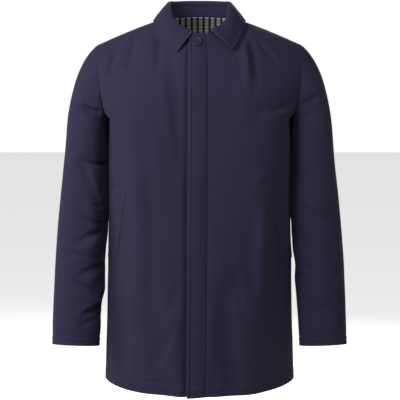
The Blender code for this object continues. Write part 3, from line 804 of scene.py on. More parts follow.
@dataclass(frozen=True)
class Thread:
    """Strong thread in a lockstitch: each stitch is one bead sunk in the cloth."""

    pitch: float = 3.3
    length: float = 2.7
    thick: float = 0.58
    sunk: float = 0.16
    slant: float = 0.09

    SIDES = 6
    ROWS = 4

    def sew(self, name: str, lines: list[tuple[np.ndarray, np.ndarray]],
            finish: bpy.types.Material) -> bpy.types.Object:
        """Sew along the lines.

        Args:
            name: Name of the new piece.
            lines: Points and normals along each line.
            finish: The thread's finish.

        Returns:
            One piece with every stitch.
        """
        places, ways, facing = (np.concatenate(parts) for parts in
                                zip(*(self._spots(*line) for line in lines)))
        across = unit(np.cross(ways, facing))
        facing = np.cross(across, ways)
        sizes = np.array((self.thick, self.thick, self.length))
        frames = np.stack([across, facing, ways], axis=1) * sizes[:, None]
        beads = finished(self._beads(len(places)), name, finish)
        shapes = points_of(beads.data).reshape(len(places), -1, 3) @ frames
        shapes = shapes + (places - facing * self.sunk)[:, None] * MM
        beads.data.vertices.foreach_set("co", shapes.astype(np.float32).ravel())
        beads.data.update()
        return beads

    def _beads(self, count: int) -> bmesh.types.BMesh:
        """That many beads, each a millimetre across, on one spot."""
        bead = bmesh.new()
        bmesh.ops.create_uvsphere(bead, u_segments=self.SIDES, v_segments=self.ROWS, radius=0.5)
        shape = as_data(bead, "bead")
        mesh = bmesh.new()
        for _ in range(count):
            mesh.from_mesh(shape)
        bpy.data.meshes.remove(shape)
        return mesh

    def _spots(self, points: np.ndarray, normals: np.ndarray) -> tuple[np.ndarray, ...]:
        """Where each stitch lies, which way it runs and which way it faces."""
        steps = np.linalg.norm(np.diff(points, axis=0), axis=1)
        measured = np.concatenate([[0.0], np.cumsum(steps)])
        count = max(int(measured[-1] / self.pitch), 1)
        ends = np.linspace(0.0, measured[-1], count + 1)
        middles = (ends[1:] + ends[:-1]) / 2
        reach = min(self.length, self.pitch) / 2

        def read(values: np.ndarray, at: np.ndarray) -> np.ndarray:
            """The values at some distances along the line."""
            return np.stack([np.interp(at, measured, values[:, k]) for k in range(3)], axis=-1)

        ways = unit(read(points, middles + reach) - read(points, middles - reach))
        facing = unit(read(normals, middles))
        return read(points, middles), unit(ways + self.slant * np.cross(ways, facing)), facing


# The neck button


@dataclass(frozen=True)
class NeckButton:
    """A turned four-hole button with a round rim, sewn on through its holes.

    Its profile is given as (from the middle, from the back), on the solid it
    stands for.
    """

    node: str = "neck_button"
    profile: tuple[tuple[float, float], ...] = (
        (0.0, 0.0), (6.5, 0.0), (9.6, 0.35), (10.6, 1.0), (11.0, 1.9), (10.8, 2.8), (10.2, 3.4),
        (9.3, 3.6), (8.5, 3.4), (7.9, 2.9), (7.2, 2.45), (6.2, 2.25), (4.0, 2.15), (0.0, 2.1))
    around: int = 72
    hole: float = 1.0
    hole_out: float = 1.85
    thread: float = 0.42
    turned: float = 0.5

    DRILL_DEPTH = 12.0
    SHARP = 35.0
    STRAND_GAP = 1.1
    STRAND_HEIGHT = 1.9
    STRAND_BEND = 0.5

    def frame(self) -> Matrix:
        """The solid's back and middle, with its axis out of the cloth as Z."""
        solid = points_of(bpy.data.objects[self.node].data)
        points = np.unique(solid.astype(float) / MM, axis=0)
        middle = (points.min(axis=0) + points.max(axis=0)) / 2
        axis = Vector(np.linalg.svd(points - points.mean(axis=0))[2][2])
        if axis.y > 0:
            axis.negate()
        away = (points - middle) @ np.array(axis)
        turn = axis.to_track_quat("Z", "Y").to_matrix().to_4x4()
        back = Vector(middle) + axis * float(away.min())
        return Matrix.Translation(back) @ turn @ Matrix.Rotation(self.turned, 4, "Z")

    def holes(self) -> list[Vector]:
        """The middles of the four holes."""
        return [Vector((x, y, 0.0)) * self.hole_out for x in (-1, 1) for y in (-1, 1)]

    def build(self, finish: bpy.types.Material) -> bpy.types.Object:
        """Turn the button and drill its holes."""
        mesh = bmesh.new()
        corners = [mesh.verts.new((out, 0.0, up)) for out, up in self.profile]
        edges = [mesh.edges.new(pair) for pair in zip(corners, corners[1:])]
        bmesh.ops.spin(mesh, geom=corners + edges, cent=(0, 0, 0), axis=(0, 0, 1),
                       angle=math.tau, steps=self.around, use_merge=True)
        bmesh.ops.remove_doubles(mesh, verts=mesh.verts, dist=0.001)
        bmesh.ops.recalc_face_normals(mesh, faces=mesh.faces)
        bmesh.ops.transform(mesh, matrix=self.frame(), verts=mesh.verts)
        button = finished(mesh, "neck_button_turned", finish)
        drill = bmesh.new()
        for middle in self.holes():
            bmesh.ops.create_cone(drill, cap_ends=True, segments=20, radius1=self.hole,
                                  radius2=self.hole, depth=self.DRILL_DEPTH,
                                  matrix=Matrix.Translation(middle))
        bmesh.ops.transform(drill, matrix=self.frame(), verts=drill.verts)
        cutter = finished(drill, "button_drill", finish)
        cut = button.modifiers.new("holes", "BOOLEAN")
        cut.operation = "DIFFERENCE"
        cut.solver = "EXACT"
        cut.object = cutter
        drilled = bpy.data.meshes.new_from_object(
            button.evaluated_get(bpy.context.evaluated_depsgraph_get()))
        button.modifiers.clear()
        button.data = drilled
        bpy.data.objects.remove(cutter)
        drilled.shade_smooth()
        drilled.set_sharp_from_angle(angle=math.radians(self.SHARP))
        return button

    def build_thread(self, finish: bpy.types.Material) -> bpy.types.Object:
        """Sew it on with two bars of thread from hole to hole, three strands each."""
        mesh = bmesh.new()
        for across in (-self.hole_out, self.hole_out):
            for strand in (-1, 0, 1):
                before = set(mesh.verts)
                ring = bmesh.ops.create_circle(
                    mesh, segments=8, radius=self.thread,
                    matrix=Matrix.Translation((self.hole_out, 0, 0)))["verts"]
                edges = {edge for vertex in ring for edge in vertex.link_edges}
                bmesh.ops.spin(mesh, geom=[*ring, *edges], cent=(0, 0, 0), axis=(0, 1, 0),
                               angle=-math.pi, steps=12)
                middle = across + strand * self.thread * self.STRAND_GAP
                place = Matrix.Translation((0, middle, self.STRAND_HEIGHT))
                bmesh.ops.transform(
                    mesh, matrix=place @ Matrix.Diagonal((1, 1, self.STRAND_BEND, 1)),
                    verts=[vertex for vertex in mesh.verts if vertex not in before])
        bmesh.ops.recalc_face_normals(mesh, faces=mesh.faces)
        bmesh.ops.transform(mesh, matrix=self.frame(), verts=mesh.verts)
        return finished(mesh, "neck_button_thread", finish)


# Finishes

Colour = tuple[float, float, float]


def linear(colour: Colour) -> tuple[float, float, float, float]:
    """A colour given as it looks on a screen, from 0 to 255, as linear light."""
    def one(value: float) -> float:
        """One of its parts."""
        share = value / 255
        return share / 12.92 if share <= 0.04045 else ((share + 0.055) / 1.055) ** 2.4

    return *map(one, colour), 1.0


class Graph:
    """Draws a node tree, one call for each node."""

    def __init__(self, tree: bpy.types.NodeTree) -> None:
        """Draw on this tree."""
        self.tree = tree

    def node(self, kind: str, inputs: dict | None = None, **settings: object) -> bpy.types.Node:
        """Add a node.

        Args:
            kind: Its type, without the words that every type begins with.
            inputs: Sockets by name or number, each with a value or another socket.
            settings: Its own settings.

        Returns:
            The node.
        """
        node = self.tree.nodes.new("ShaderNode" + kind)
        for name, value in settings.items():
            setattr(node, name, value)
        for name, value in (inputs or {}).items():
            self.feed(node.inputs[name], value)
        return node

    def feed(self, socket: bpy.types.NodeSocket, value: object) -> None:
        """Give a socket a value, or what another socket puts out."""
        if isinstance(value, bpy.types.NodeSocket):
            self.tree.links.new(value, socket)
        else:
            socket.default_value = value

    def math(self, operation: str, *values: object) -> bpy.types.NodeSocket:
        """Work one sum and give its result."""
        return self.node("Math", dict(enumerate(values)), operation=operation).outputs[0]

    def blend(self, share: object, first: object, second: object,
              way: str = "MIX") -> bpy.types.NodeSocket:
        """Mix two colours and give the result."""
        mix = self.node("Mix", {0: share, 6: first, 7: second}, data_type="RGBA", blend_type=way)
        return mix.outputs[2]

    def total(self, *parts: tuple[float, bpy.types.NodeSocket]) -> bpy.types.NodeSocket:
        """Add values up, each times its weight."""
        terms = [self.math("MULTIPLY", weight, value) for weight, value in parts]
        return reduce(lambda one, other: self.math("ADD", one, other), terms)

    def spread(self, value: bpy.types.NodeSocket, low: float,
               high: float) -> bpy.types.NodeSocket:
        """Spread a value from 0 to 1 between two others."""
        spread = self.node("MapRange", {"Value": value, "To Min": low, "To Max": high})
        return spread.outputs[0]

    def effect(self, tree: bpy.types.NodeTree, **inputs: object) -> bpy.types.NodeOutputs:
        """Place a shared effect and give its outputs."""
        return self.node("Group", inputs, node_tree=tree).outputs

    def finish(self, shader: bpy.types.Node, colour: bpy.types.NodeSocket,
               roughness: bpy.types.NodeSocket, height: bpy.types.NodeSocket) -> None:
        """Feed a shader its colour, its roughness and its relief in millimetres."""
        bump = self.node("Bump", {"Height": height, "Distance": MM, "Strength": 1.0})
        for name, value in (("Base Color", colour), ("Roughness", roughness),
                            ("Normal", bump.outputs[0])):
            self.feed(shader.inputs[name], value)


def start_effect(name: str, takes: dict[str, str], gives: tuple[str, ...]) -> tuple:
    """Start an effect that several finishes share.

    Args:
        name: Its name.
        takes: Its inputs, each with the kind of its socket.
        gives: Its outputs, all plain numbers.

    Returns:
        The tree, a Graph on it, its input sockets and the node to feed.
    """
    tree = bpy.data.node_groups.new(name, "ShaderNodeTree")
    for socket, kind in takes.items():
        tree.interface.new_socket(socket, in_out="INPUT", socket_type="NodeSocket" + kind)
    for socket in gives:
        tree.interface.new_socket(socket, in_out="OUTPUT", socket_type="NodeSocketFloat")
    ends = tree.nodes.new("NodeGroupInput"), tree.nodes.new("NodeGroupOutput")
    return tree, Graph(tree), ends[0].outputs, ends[1]


def twill_effect() -> bpy.types.NodeTree:
    """Twill: each yarn passes over two and under two, a step further in every row.

    It takes the cloth's map in metres and the yarns' pitch. It gives the
    surface's height and how much each yarn's tone varies.
    """
    step_on, over = 0.25, 0.45
    tree, graph, takes, gives = start_effect("twill", {"Map": "Vector", "Pitch": "Float"},
                                             ("Height", "Tone"))
    counted = graph.node("VectorMath", {
        0: takes["Map"], "Scale": graph.math("DIVIDE", 1.0, takes["Pitch"])}, operation="SCALE")
    across, along = graph.node("SeparateXYZ", {0: counted.outputs[0]}).outputs[:2]
    whole_across, whole_along = graph.math("FLOOR", across), graph.math("FLOOR", along)
    step = graph.math("FRACT", graph.math("MULTIPLY", step_on,
                                          graph.math("ADD", whole_across, whole_along)))
    warp = graph.math("LESS_THAN", step, over)

    def round_top(place: bpy.types.NodeSocket) -> bpy.types.NodeSocket:
        """A yarn's height, from the place across it."""
        share = graph.math("FRACT", place)
        return graph.math("SINE", graph.math("MULTIPLY", math.pi, share))

    def tone(place: bpy.types.NodeSocket) -> bpy.types.NodeSocket:
        """A yarn's tone, from its number."""
        return graph.node("TexWhiteNoise", {"W": place}, noise_dimensions="1D").outputs[0]

    for name, warp_value, weft_value in (
            ("Height", round_top(across), round_top(along)),
            ("Tone", tone(whole_across), tone(whole_along))):
        top = graph.node("Mix", {0: warp, 2: weft_value, 3: warp_value}, data_type="FLOAT")
        graph.feed(gives.inputs[name], top.outputs[0])
    return tree


def mottle_effect() -> bpy.types.NodeTree:
    """Soft unevenness in dye and surface, from the place on the object."""
    tree, graph, takes, gives = start_effect("mottle", {"Place": "Vector", "Size": "Float"},
                                             ("Tone", "Height"))
    fineness = graph.math("DIVIDE", 1.0, takes["Size"])
    finer = graph.math("MULTIPLY", 9.0, fineness)
    for name, scale, detail in (("Tone", fineness, 3.0), ("Height", finer, 2.0)):
        waves = graph.node("TexNoise", {"Vector": takes["Place"], "Scale": scale,
                                        "Detail": detail})
        graph.feed(gives.inputs[name], waves.outputs[0])
    return tree


@dataclass(frozen=True)
class Effects:
    """The effects that the finishes share."""

    twill: bpy.types.NodeTree = field(default_factory=twill_effect)
    mottle: bpy.types.NodeTree = field(default_factory=mottle_effect)


def shaded(name: str, constants: dict[str, object]) -> tuple[bpy.types.Material, Graph,
                                                             bpy.types.Node]:
    """Start a material.

    Args:
        name: Its name.
        constants: Values of its shader's sockets that are the same all over.

    Returns:
        The material, a Graph on its tree and its shader.
    """
    material = bpy.data.materials.new(name)
    material.use_nodes = True
    graph = Graph(material.node_tree)
    shader = material.node_tree.nodes["Principled BSDF"]
    for socket, value in constants.items():
        shader.inputs[socket].default_value = value
    return material, graph, shader


@dataclass(frozen=True)
class NavyCloth:
    """Close-woven navy raincoat twill, matt, painted a little paler along folded edges: part
    chafing, part painted highlight.
    """

    name: str = "navy cloth"
    dark: Colour = (36.0, 34.0, 55.0)
    pale: Colour = (46.0, 44.0, 68.0)
    # The paler colour painted along folded edges: part chafing, part painted highlight.
    rubbed_and_highlit: Colour = (58.0, 56.0, 76.0)
    yarn: float = 0.62
    yarn_height: float = 0.06
    crinkle_height: float = 0.16
    roughness: tuple[float, float] = (0.82, 0.95)
    mottles: tuple[float, float] = (0.09, 0.012)
    tones: tuple[float, float, float] = (0.45, 0.35, 0.2)

    LEAST_WEAR_AND_HIGHLIGHT = 0.2

    def material(self, effects: Effects) -> bpy.types.Material:
        """Build the finish."""
        material, graph, shader = shaded(self.name, {
            "Specular IOR Level": 0.12, "Sheen Weight": 0.03, "Sheen Roughness": 0.5})
        map_ = graph.node("UVMap", uv_map="cloth").outputs[0]
        place = graph.node("TexCoord").outputs["Object"]
        twill = graph.effect(effects.twill, Map=map_, Pitch=self.yarn * MM)
        wide, fine = (graph.effect(effects.mottle, Place=place, Size=size)
                      for size in self.mottles)
        tone = graph.total(*zip(self.tones, (twill["Tone"], wide["Tone"], fine["Tone"])))
        colour = graph.blend(tone, linear(self.dark), linear(self.pale))
        # Paler along folded edges: part chafing, part painted highlight.
        wear_and_highlight = graph.node("Attribute", attribute_name="wear_and_highlight").outputs["Fac"]
        worn_and_highlit = graph.math("MULTIPLY", wear_and_highlight, graph.math("ADD", self.LEAST_WEAR_AND_HIGHLIGHT, fine["Tone"]))
        graph.finish(shader, graph.blend(worn_and_highlit, colour, linear(self.rubbed_and_highlit)),
                     graph.spread(fine["Tone"], *self.roughness),
                     graph.total((self.yarn_height, twill["Height"]),
                                 (self.crinkle_height, fine["Height"])))
        return material


@dataclass(frozen=True)
class CheckLining:
    """Cotton check: stripes down the cloth, printed over other stripes across it.

    Each stripe is (share of the repeat at which it starts, colour).
    """

    name: str = "check lining"
    down: tuple[tuple[float, Colour], ...] = (
        (0.0, (58.0, 60.0, 92.0)), (0.4, (252.0, 250.0, 244.0)))
    over: tuple[tuple[float, Colour], ...] = (
        (0.0, (232.0, 200.0, 156.0)), (0.2, (254.0, 250.0, 240.0)),
        (0.5, (178.0, 188.0, 220.0)), (0.7, (246.0, 248.0, 254.0)))
    repeat: tuple[float, float] = (13.5, 25.0)
    yarn: float = 0.35
    yarn_height: float = 0.05
    shade: tuple[float, float] = (0.84, 1.0)
    roughness: tuple[float, float] = (0.75, 0.9)

    def material(self, effects: Effects) -> bpy.types.Material:
        """Build the finish."""
        material, graph, shader = shaded(self.name, {"Specular IOR Level": 0.3})
        map_ = graph.node("UVMap", uv_map="cloth").outputs[0]
        axes = graph.node("SeparateXYZ", {0: map_}).outputs
        bands = []
        for axis, repeat, stripes in zip(axes, self.repeat, (self.down, self.over)):
            share = graph.math("FRACT", graph.math("DIVIDE", axis, repeat * MM))
            ramp = graph.node("ValToRGB", {0: share})
            ramp.color_ramp.interpolation = "CONSTANT"
            while len(ramp.color_ramp.elements) < len(stripes):
                ramp.color_ramp.elements.new(0.99)
            for stop, (start, colour) in zip(ramp.color_ramp.elements, stripes):
                stop.position = start
                stop.color = linear(colour)
            bands.append(ramp.outputs[0])
        twill = graph.effect(effects.twill, Map=map_, Pitch=self.yarn * MM)
        tinted = graph.node("VectorMath", {0: graph.blend(1.0, *bands, "MULTIPLY"),
                                           "Scale": graph.spread(twill["Tone"], *self.shade)},
                            operation="SCALE")
        graph.finish(shader, tinted.outputs[0], graph.spread(twill["Tone"], *self.roughness),
                     graph.math("MULTIPLY", self.yarn_height, twill["Height"]))
        return material


@dataclass(frozen=True)
class Grained:
    """A small hard or twisted thing with a fine grain: thread, satin or resin."""

    name: str
    dark: Colour
    pale: Colour
    grain: float
    grain_height: float
    roughness: tuple[float, float]
    stretch: tuple[float, float, float] = (1.0, 1.0, 1.0)
    specular: float = 0.5

    def material(self, effects: Effects) -> bpy.types.Material:
        """Build the finish."""
        material, graph, shader = shaded(self.name, {"Specular IOR Level": self.specular})
        place = graph.node("Mapping", {0: graph.node("TexCoord").outputs["Object"],
                                       "Scale": self.stretch}).outputs[0]
        mottle = graph.effect(effects.mottle, Place=place, Size=self.grain * MM)
        graph.finish(shader,
                     graph.blend(mottle["Tone"], linear(self.dark), linear(self.pale)),
                     graph.spread(mottle["Height"], *self.roughness),
                     graph.math("MULTIPLY", self.grain_height, mottle["Height"]))
        return material


# The studio


@dataclass(frozen=True)
class Studio:
    """A pale floor, soft light from the left, and the camera.

    Each lamp has its name, its place, its width in metres and its power in watts.
    """

    aim: tuple[float, float, float] = (0.0011, 0.0, -0.3934)
    distance: float = 2.5
    elevation: float = 8.0
    lens: float = 99.99
    sensor: float = 36.0
    lamps: tuple[tuple[str, tuple[float, float, float], float, float], ...] = (
        ("key", (-1.1, -1.3, 0.5), 0.9, 27.6),
        ("side", (-2.6, -0.5, 0.3), 1.4, 33.0),
        ("fill", (2.4, -1.6, 0.8), 1.6, 15.0),
        ("above", (0.1, -1.6, 1.4), 0.6, 8.0),
        ("front", (-0.2, -2.8, 0.5), 1.2, 11.0),
        ("behind", (0.5, 2.6, 0.5), 1.4, 60.0))
    sky: float = 0.07
    floor_height: float = -1.45
    floor_half_width: float = 12.0

    def stand(self, name: str, data: bpy.types.ID, place: Vector) -> bpy.types.Object:
        """Stand a camera or a light at a place, turned towards the coat."""
        thing = linked(name, data)
        thing.location = place
        thing.rotation_euler = (Vector(self.aim) - place).to_track_quat("-Z", "Y").to_euler()
        return thing

    def camera(self) -> None:
        """Stand the camera where the photograph was taken from."""
        angle = math.radians(self.elevation)
        away = Vector((0.0, -math.cos(angle), math.sin(angle))) * self.distance
        data = bpy.data.cameras.new("camera")
        data.lens = self.lens
        data.sensor_width = self.sensor
        bpy.context.scene.camera = self.stand("camera", data, Vector(self.aim) + away)

    def lights(self) -> None:
        """Light the coat mostly from the left, a little from the right, and its back."""
        for name, place, width, power in self.lamps:
            data = bpy.data.lights.new(name, "AREA")
            data.shape = "DISK"
            data.size = width
            data.energy = power
            self.stand(name, data, Vector(place))

    def surroundings(self) -> None:
        """White all round, dimmer as a light than as a background."""
        world = bpy.data.worlds.new("white")
        bpy.context.scene.world = world
        world.use_nodes = True
        graph = Graph(world.node_tree)
        seen = graph.node("LightPath").outputs["Is Camera Ray"]
        graph.feed(world.node_tree.nodes["Background"].inputs["Color"],
                   graph.blend(seen, (self.sky, self.sky, self.sky, 1.0), (1.0, 1.0, 1.0, 1.0)))
        bpy.context.scene.view_settings.view_transform = "Standard"

    def floor(self) -> None:
        """Lay the pale floor below the coat, at the height of the wearer's feet."""
        mesh = bmesh.new()
        bmesh.ops.create_grid(mesh, x_segments=1, y_segments=1, size=self.floor_half_width)
        bmesh.ops.translate(mesh, vec=(0.0, 0.0, self.floor_height), verts=mesh.verts)
        floor = linked("floor", as_data(mesh, "floor"))
        material, _, _ = shaded("floor", {
            "Base Color": (0.95, 0.95, 0.95, 1.0), "Emission Color": (1.0, 1.0, 1.0, 1.0),
            "Emission Strength": 0.7})
        floor.data.materials.append(material)
        floor.visible_diffuse = False


# The coat

# How thick the solids' walls are
SHELL = 2.0
COLLAR_SHELL = 2.2
WELT_SHELL = 1.8
LINING_SHELL = 1.0

SEWN = Side(Edge.SEWN)
FOLDED = Side(Edge.FOLDED)


@dataclass(frozen=True)
class Fronts:
    """The two fronts: the left one laps over the right and covers its buttons."""

    fly_seam: Stitching = Stitching(42.0, dip=1.3, before=8.0, after=1.6, core=1.5)
    fly_edge: Stitching = Stitching(8.0, dip=0.5, before=2.2, after=1.2, core=1.1)
    hem_seam: Stitching = Stitching(27.0, dip=0.8, before=1.4, after=2.2)
    hem_edge: Stitching = Stitching(8.0, dip=0.5)
    facing: float = 78.0
    turn_up: float = 30.0

    def hem(self) -> Side:
        """The turned-up hem and its two lines of stitches."""
        return Side(Edge.FOLDED, (self.hem_edge, self.hem_seam), self.turn_up,
                    self.hem_seam.distance)

    def left(self) -> Cloth:
        """The wearer's left front, with the covered fly along its edge."""
        folds = creases(
            (8, 3.2, 0, (91, -24), (97, -58), (100, -98), (104, -150)),
            (7.5, -4.2, 0, (107, -30), (113, -58), (118, -90), (124, -130)),
            (7, -3.5, 0.3, (124, -37), (138, -54), (154, -69), (170, -90)),
            (7, -2.8, 0.3, (152, -188), (174, -180), (200, -168)),
            (17, 4.2, -0.3, (140, -380), (134, -440), (130, -510), (134, -590)),
            (19, -5.6, 0, (166, -430), (171, -510), (176, -600)),
            (17, -5.1, 0.3, (52, -560), (61, -646), (70, -701), (80, -770)),
            (10, 1.9, 0, (29, -600), (24, -690), (20, -775)),
            (14, -3.5, 0, (166, -640), (178, -720), (192, -790)),
            (10, -2.6, 0.4, (66, -500), (82, -545), (92, -600)),
            (8, -1.9, 0, (128, -350), (147, -338), (170, -330)))
        beside_leaf = creases(
            (11, -3, 0, (97, -8), (92, -24), (85, -38), (76, -51), (67, -59)),
            (5.5, -5.2, 0, (104, -8), (99, -24), (92, -40), (83, -55), (73, -64)),
            lip=0.0, fade=0.3)
        dimple = creases((6, -1.8, 0, (10, -268), (7, -278), (3, -290)), lip=0.2)
        fly = Side(Edge.FOLDED, (self.fly_edge, self.fly_seam), self.facing)
        return Cloth("front_left", SHELL, self.hem(), SEWN, fly, SEWN, cut=(325.0, 885.0),
                     cut_share=0.87, creases=folds + beside_leaf + dimple)

    def right(self) -> Cloth:
        """The wearer's right front, which runs on under the fly."""
        folds = creases(
            (7, -3.8, 0, (-178, -50), (-187, -84), (-196, -116)),
            (7.5, -2.9, 0, (-139, -28), (-143, -50), (-148, -72), (-154, -100)),
            (8, -2.6, 0, (-88, -30), (-89, -60), (-88, -98)),
            (17, -5.4, -0.3, (-62, -70), (-55, -130), (-47, -200), (-38, -290)),
            (17, 4.2, 0, (-151, -195), (-141, -290), (-134, -375), (-129, -462), (-126, -560)),
            (10, -2.9, 0, (-36, -640), (-33, -720), (-32, -795)),
            (12, -2.4, 0.3, (-54, -640), (-76, -702), (-104, -756)),
            (11, -1.8, 0, (-42, -548), (-58, -598), (-82, -646)),
            (13, -2.9, 0, (-160, -640), (-168, -710), (-170, -790)))
        along_fly = (-24, -60), (-25, -200), (-27, -500), (-29, -800)
        under_fly = creases((10, -2.6, 0, *along_fly), (5, -4.6, 0, *along_fly),
                            lip=0.0, fade=0.15)
        beside_leaf = creases(
            (6, -2.5, 0, (-100, -12), (-95, -26), (-86, -42), (-74, -56)),
            (5, -4, 0, (-22, -34), (-34, -44), (-46, -56)),
            lip=0.0, fade=0.4)
        under = Side(Edge.FOLDED, turned=self.facing)
        return Cloth("front_right", SHELL, self.hem(), SEWN, SEWN, under, cut=(310.0, 885.0),
                     cut_share=0.86, creases=folds + under_fly + beside_leaf)


@dataclass(frozen=True)
class Back:
    """The back in one piece, from side seam to side seam."""

    fronts: Fronts

    def cloth(self) -> Cloth:
        """The back."""
        folds = creases(
            (13, -4.2, 0, (-165, -120), (-135, -190), (-112, -280)),
            (13, -3.8, 0, (168, -125), (140, -185), (118, -260)),
            (9, -2.9, 0, (-70, -52), (-30, -66), (25, -67), (66, -54)),
            (19, 4.2, 0, (-46, -300), (-52, -430), (-60, -560)),
            (19, -4.5, 0, (66, -330), (80, -460), (92, -610)),
            (16, -4.5, 0, (-124, -520), (-134, -650), (-130, -785)),
            (17, -3.5, 0, (16, -590), (8, -690), (4, -790)),
            (15, 3.5, 0, (140, -560), (150, -670), (148, -785)),
            (8, -3.2, 0, (-190, -230), (-150, -262), (-120, -270)),
            (8, -3.5, 0, (192, -235), (160, -262), (128, -278)), facing=Facing.BACK)
        return Cloth("back", SHELL, self.fronts.hem(), SEWN, SEWN, SEWN, cut=(585.0, 890.0),
                     cut_share=0.87, step=4.6, creases=folds)


@dataclass(frozen=True)
class Sleeves:
    """The two sleeves, each a tube with a stitched cuff."""

    cuff_seam: Stitching = Stitching(20.0, dip=0.8, before=1.4, after=2.2)
    cuff_edge: Stitching = Stitching(9.0, dip=0.7)
    turn_up: float = 30.0
    cut: tuple[float, float] = (490.0, 690.0)
    cut_share: float = 0.67

    def tube(self, side: str, folds: tuple[Crease, ...]) -> Cloth:
        """One sleeve."""
        cuff = Side(Edge.FOLDED, (self.cuff_edge, self.cuff_seam), self.turn_up,
                    self.cuff_seam.distance)
        return Cloth(f"sleeve_{side}", SHELL, cuff, SEWN, SEWN, SEWN, cut=self.cut,
                     cut_share=self.cut_share, tube=True, creases=folds)

    def fullness(self, facing: Facing) -> tuple[Crease, ...]:
        """How the inner side swells against the body, down to where it leaves it."""
        return (*creases((24, 3.2, 0, (2, -212), (2, -300), (-3, -380), (-7, -455)),
                         lip=0.0, fade=0.1, facing=facing),
                *creases((24, 2, 0, (4, -215), (4, -300), (2, -360), (-3, -436)),
                         lip=0.0, fade=0.3, facing=facing))

    def left(self) -> Cloth:
        """The wearer's left sleeve, which hangs almost smooth."""
        front = creases(
            (6.4, -4.4, 0.3, (210, -178), (233, -168), (260, -155)),
            (4.6, -2.6, 0, (214, -122), (218, -138), (217, -158)),
            (15, 2.6, 0, (252, -209), (256, -330), (262, -450), (270, -604)),
            (5.5, -2.6, 0, (218, -396), (231, -404), (243, -415)),
            (6, -2.6, 0, (264, -418), (275, -427), (290, -440)),
            (6.4, -2.4, 0, (226, -520), (240, -535), (256, -541)))
        inner = creases((15, 3, 0, (224, -240), (230, -340), (238, -460), (244, -560)),
                        lip=0.0, fade=0.4)
        elbow = creases((20, 2.2, 0, (-1, -388), (-3, -415), (-5, -442)),
                        lip=0.0, fade=0.4, facing=Facing.RIGHT)
        behind = creases(
            (9, -3.5, 0, (205, -250), (235, -268), (262, -272)),
            (8, -4.2, 0, (222, -345), (250, -352), (282, -344)),
            (9, -3.8, 0, (228, -392), (256, -405), (288, -402)),
            (8, -2.9, 0, (240, -560), (262, -550), (290, -546)),
            (8, -2.2, 0, (246, -640), (270, -648), (296, -640)), facing=Facing.BACK)
        return self.tube("left", front + inner + self.fullness(Facing.RIGHT) + elbow + behind)

    def right(self) -> Cloth:
        """The wearer's right sleeve, creased at the elbow and above the cuff."""
        front = creases(
            (5.5, -5.6, 0.3, (-266, -176), (-238, -186), (-206, -193)),
            (8, -3.4, 0.4, (-256, -290), (-240, -335), (-229, -378), (-219, -420)),
            (5, -5, 0.3, (-256, -295), (-230, -303), (-202, -309)),
            (6.9, -6, 0, (-262, -472), (-250, -466), (-234, -460), (-212, -450)),
            (5.5, -3.2, 0, (-236, -395), (-222, -398), (-210, -400)),
            (7.5, -6, 0.3, (-262, -546), (-248, -540), (-232, -534), (-210, -528)),
            (7, -7, 0.3, (-258, -636), (-242, -628), (-226, -622), (-208, -618)),
            (5.5, -2.6, 0, (-262, -660), (-248, -655), (-232, -652)),
            (14, 2.6, 0, (-240, -205), (-246, -260), (-252, -300)),
            (5.5, -4.6, 0.4, (-264, -416), (-242, -426), (-208, -440)),
            (4.5, -2.8, 0, (-290, -500), (-256, -506), (-222, -512)),
            (6, -4, 0.4, (-274, -558), (-246, -577), (-216, -604)))
        inner = creases((17, 5, 0, (-222, -232), (-227, -330), (-236, -450), (-243, -590)),
                        lip=0.0, fade=0.4)
        crests = creases(
            (7, 3.2, 0, (-262, -490), (-240, -486), (-214, -476)),
            (6, 2.6, 0, (-272, -588), (-250, -602), (-228, -612)), lip=0.1)
        behind = creases(
            (9, -3.8, 0, (-208, -246), (-236, -262), (-266, -262)),
            (8, -4.5, 0, (-224, -332), (-252, -344), (-284, -338)),
            (8, -3.8, 0, (-228, -380), (-256, -390), (-290, -384)),
            (9, -3.2, 0, (-236, -470), (-260, -462), (-290, -468)),
            (8, -2.9, 0, (-246, -610), (-268, -622), (-298, -616)), facing=Facing.BACK)
        return self.tube("right", front + inner + crests + self.fullness(Facing.LEFT) + behind)


@dataclass(frozen=True)
class Collar:
    """The turned-down collar and the stand that it rolls over."""

    edge: Stitching = Stitching(7.0, dip=0.4, pucker=0.08)

    def leaf(self) -> Cloth:
        """The collar that shows, stitched round its free edges."""
        # The leaf's outer edge is not painted paler: no painted highlight, no chafing.
        free, outer = Side(Edge.FOLDED, (self.edge,)), Side(Edge.FOLDED, (self.edge,), rubbed_and_highlit=0.0)
        roll = creases(
            (9, 4.4, 0, (-64, 22), (-41, 42), (-20, 49), (0, 51), (20, 49), (41, 43), (64, 22)),
            lip=0.0, fade=0.3, facing=Facing.TOP)
        crest = creases((15, 4.4, 0.3, (32, 20), (32, -6), (39, -30), (56, -45)),
                        lip=0.0, fade=0.5)
        trough = creases((15, -5, 0, (84, 0), (83, -20), (74, -46)), lip=0.0, fade=0.3)
        return Cloth("collar", COLLAR_SHELL, outer, SEWN, free, free, cut=(590.0, 80.0),
                     cut_share=0.72, step=3.0, creases=roll + crest + trough, ripple=0.4)

    def stand(self) -> Cloth:
        """The stand inside it."""
        return Cloth("collar_stand", COLLAR_SHELL, SEWN, SEWN, FOLDED, FOLDED,
                     cut=(425.0, 30.0), cut_share=0.66, step=3.0, ripple=0.2)


@dataclass(frozen=True)
class Pockets:
    """The slanted welts of the two side pockets."""

    edge: Stitching = Stitching(4.0, dip=0.3, pucker=0.05)

    def welt(self, side: str, front: Cloth) -> Cloth:
        """One welt, creased with the front that it lies on."""
        mouth = Side(Edge.FOLDED, (self.edge,))
        left, right = (mouth, FOLDED) if side == "left" else (FOLDED, mouth)
        return Cloth(f"pocket_welt_{side}", WELT_SHELL, FOLDED, FOLDED, left, right,
                     cut=(57.0, 172.0), cut_share=0.92, creases=front.creases, sunk=0.9,
                     hand=Hand(wall=0.8, fold_round=0.5))


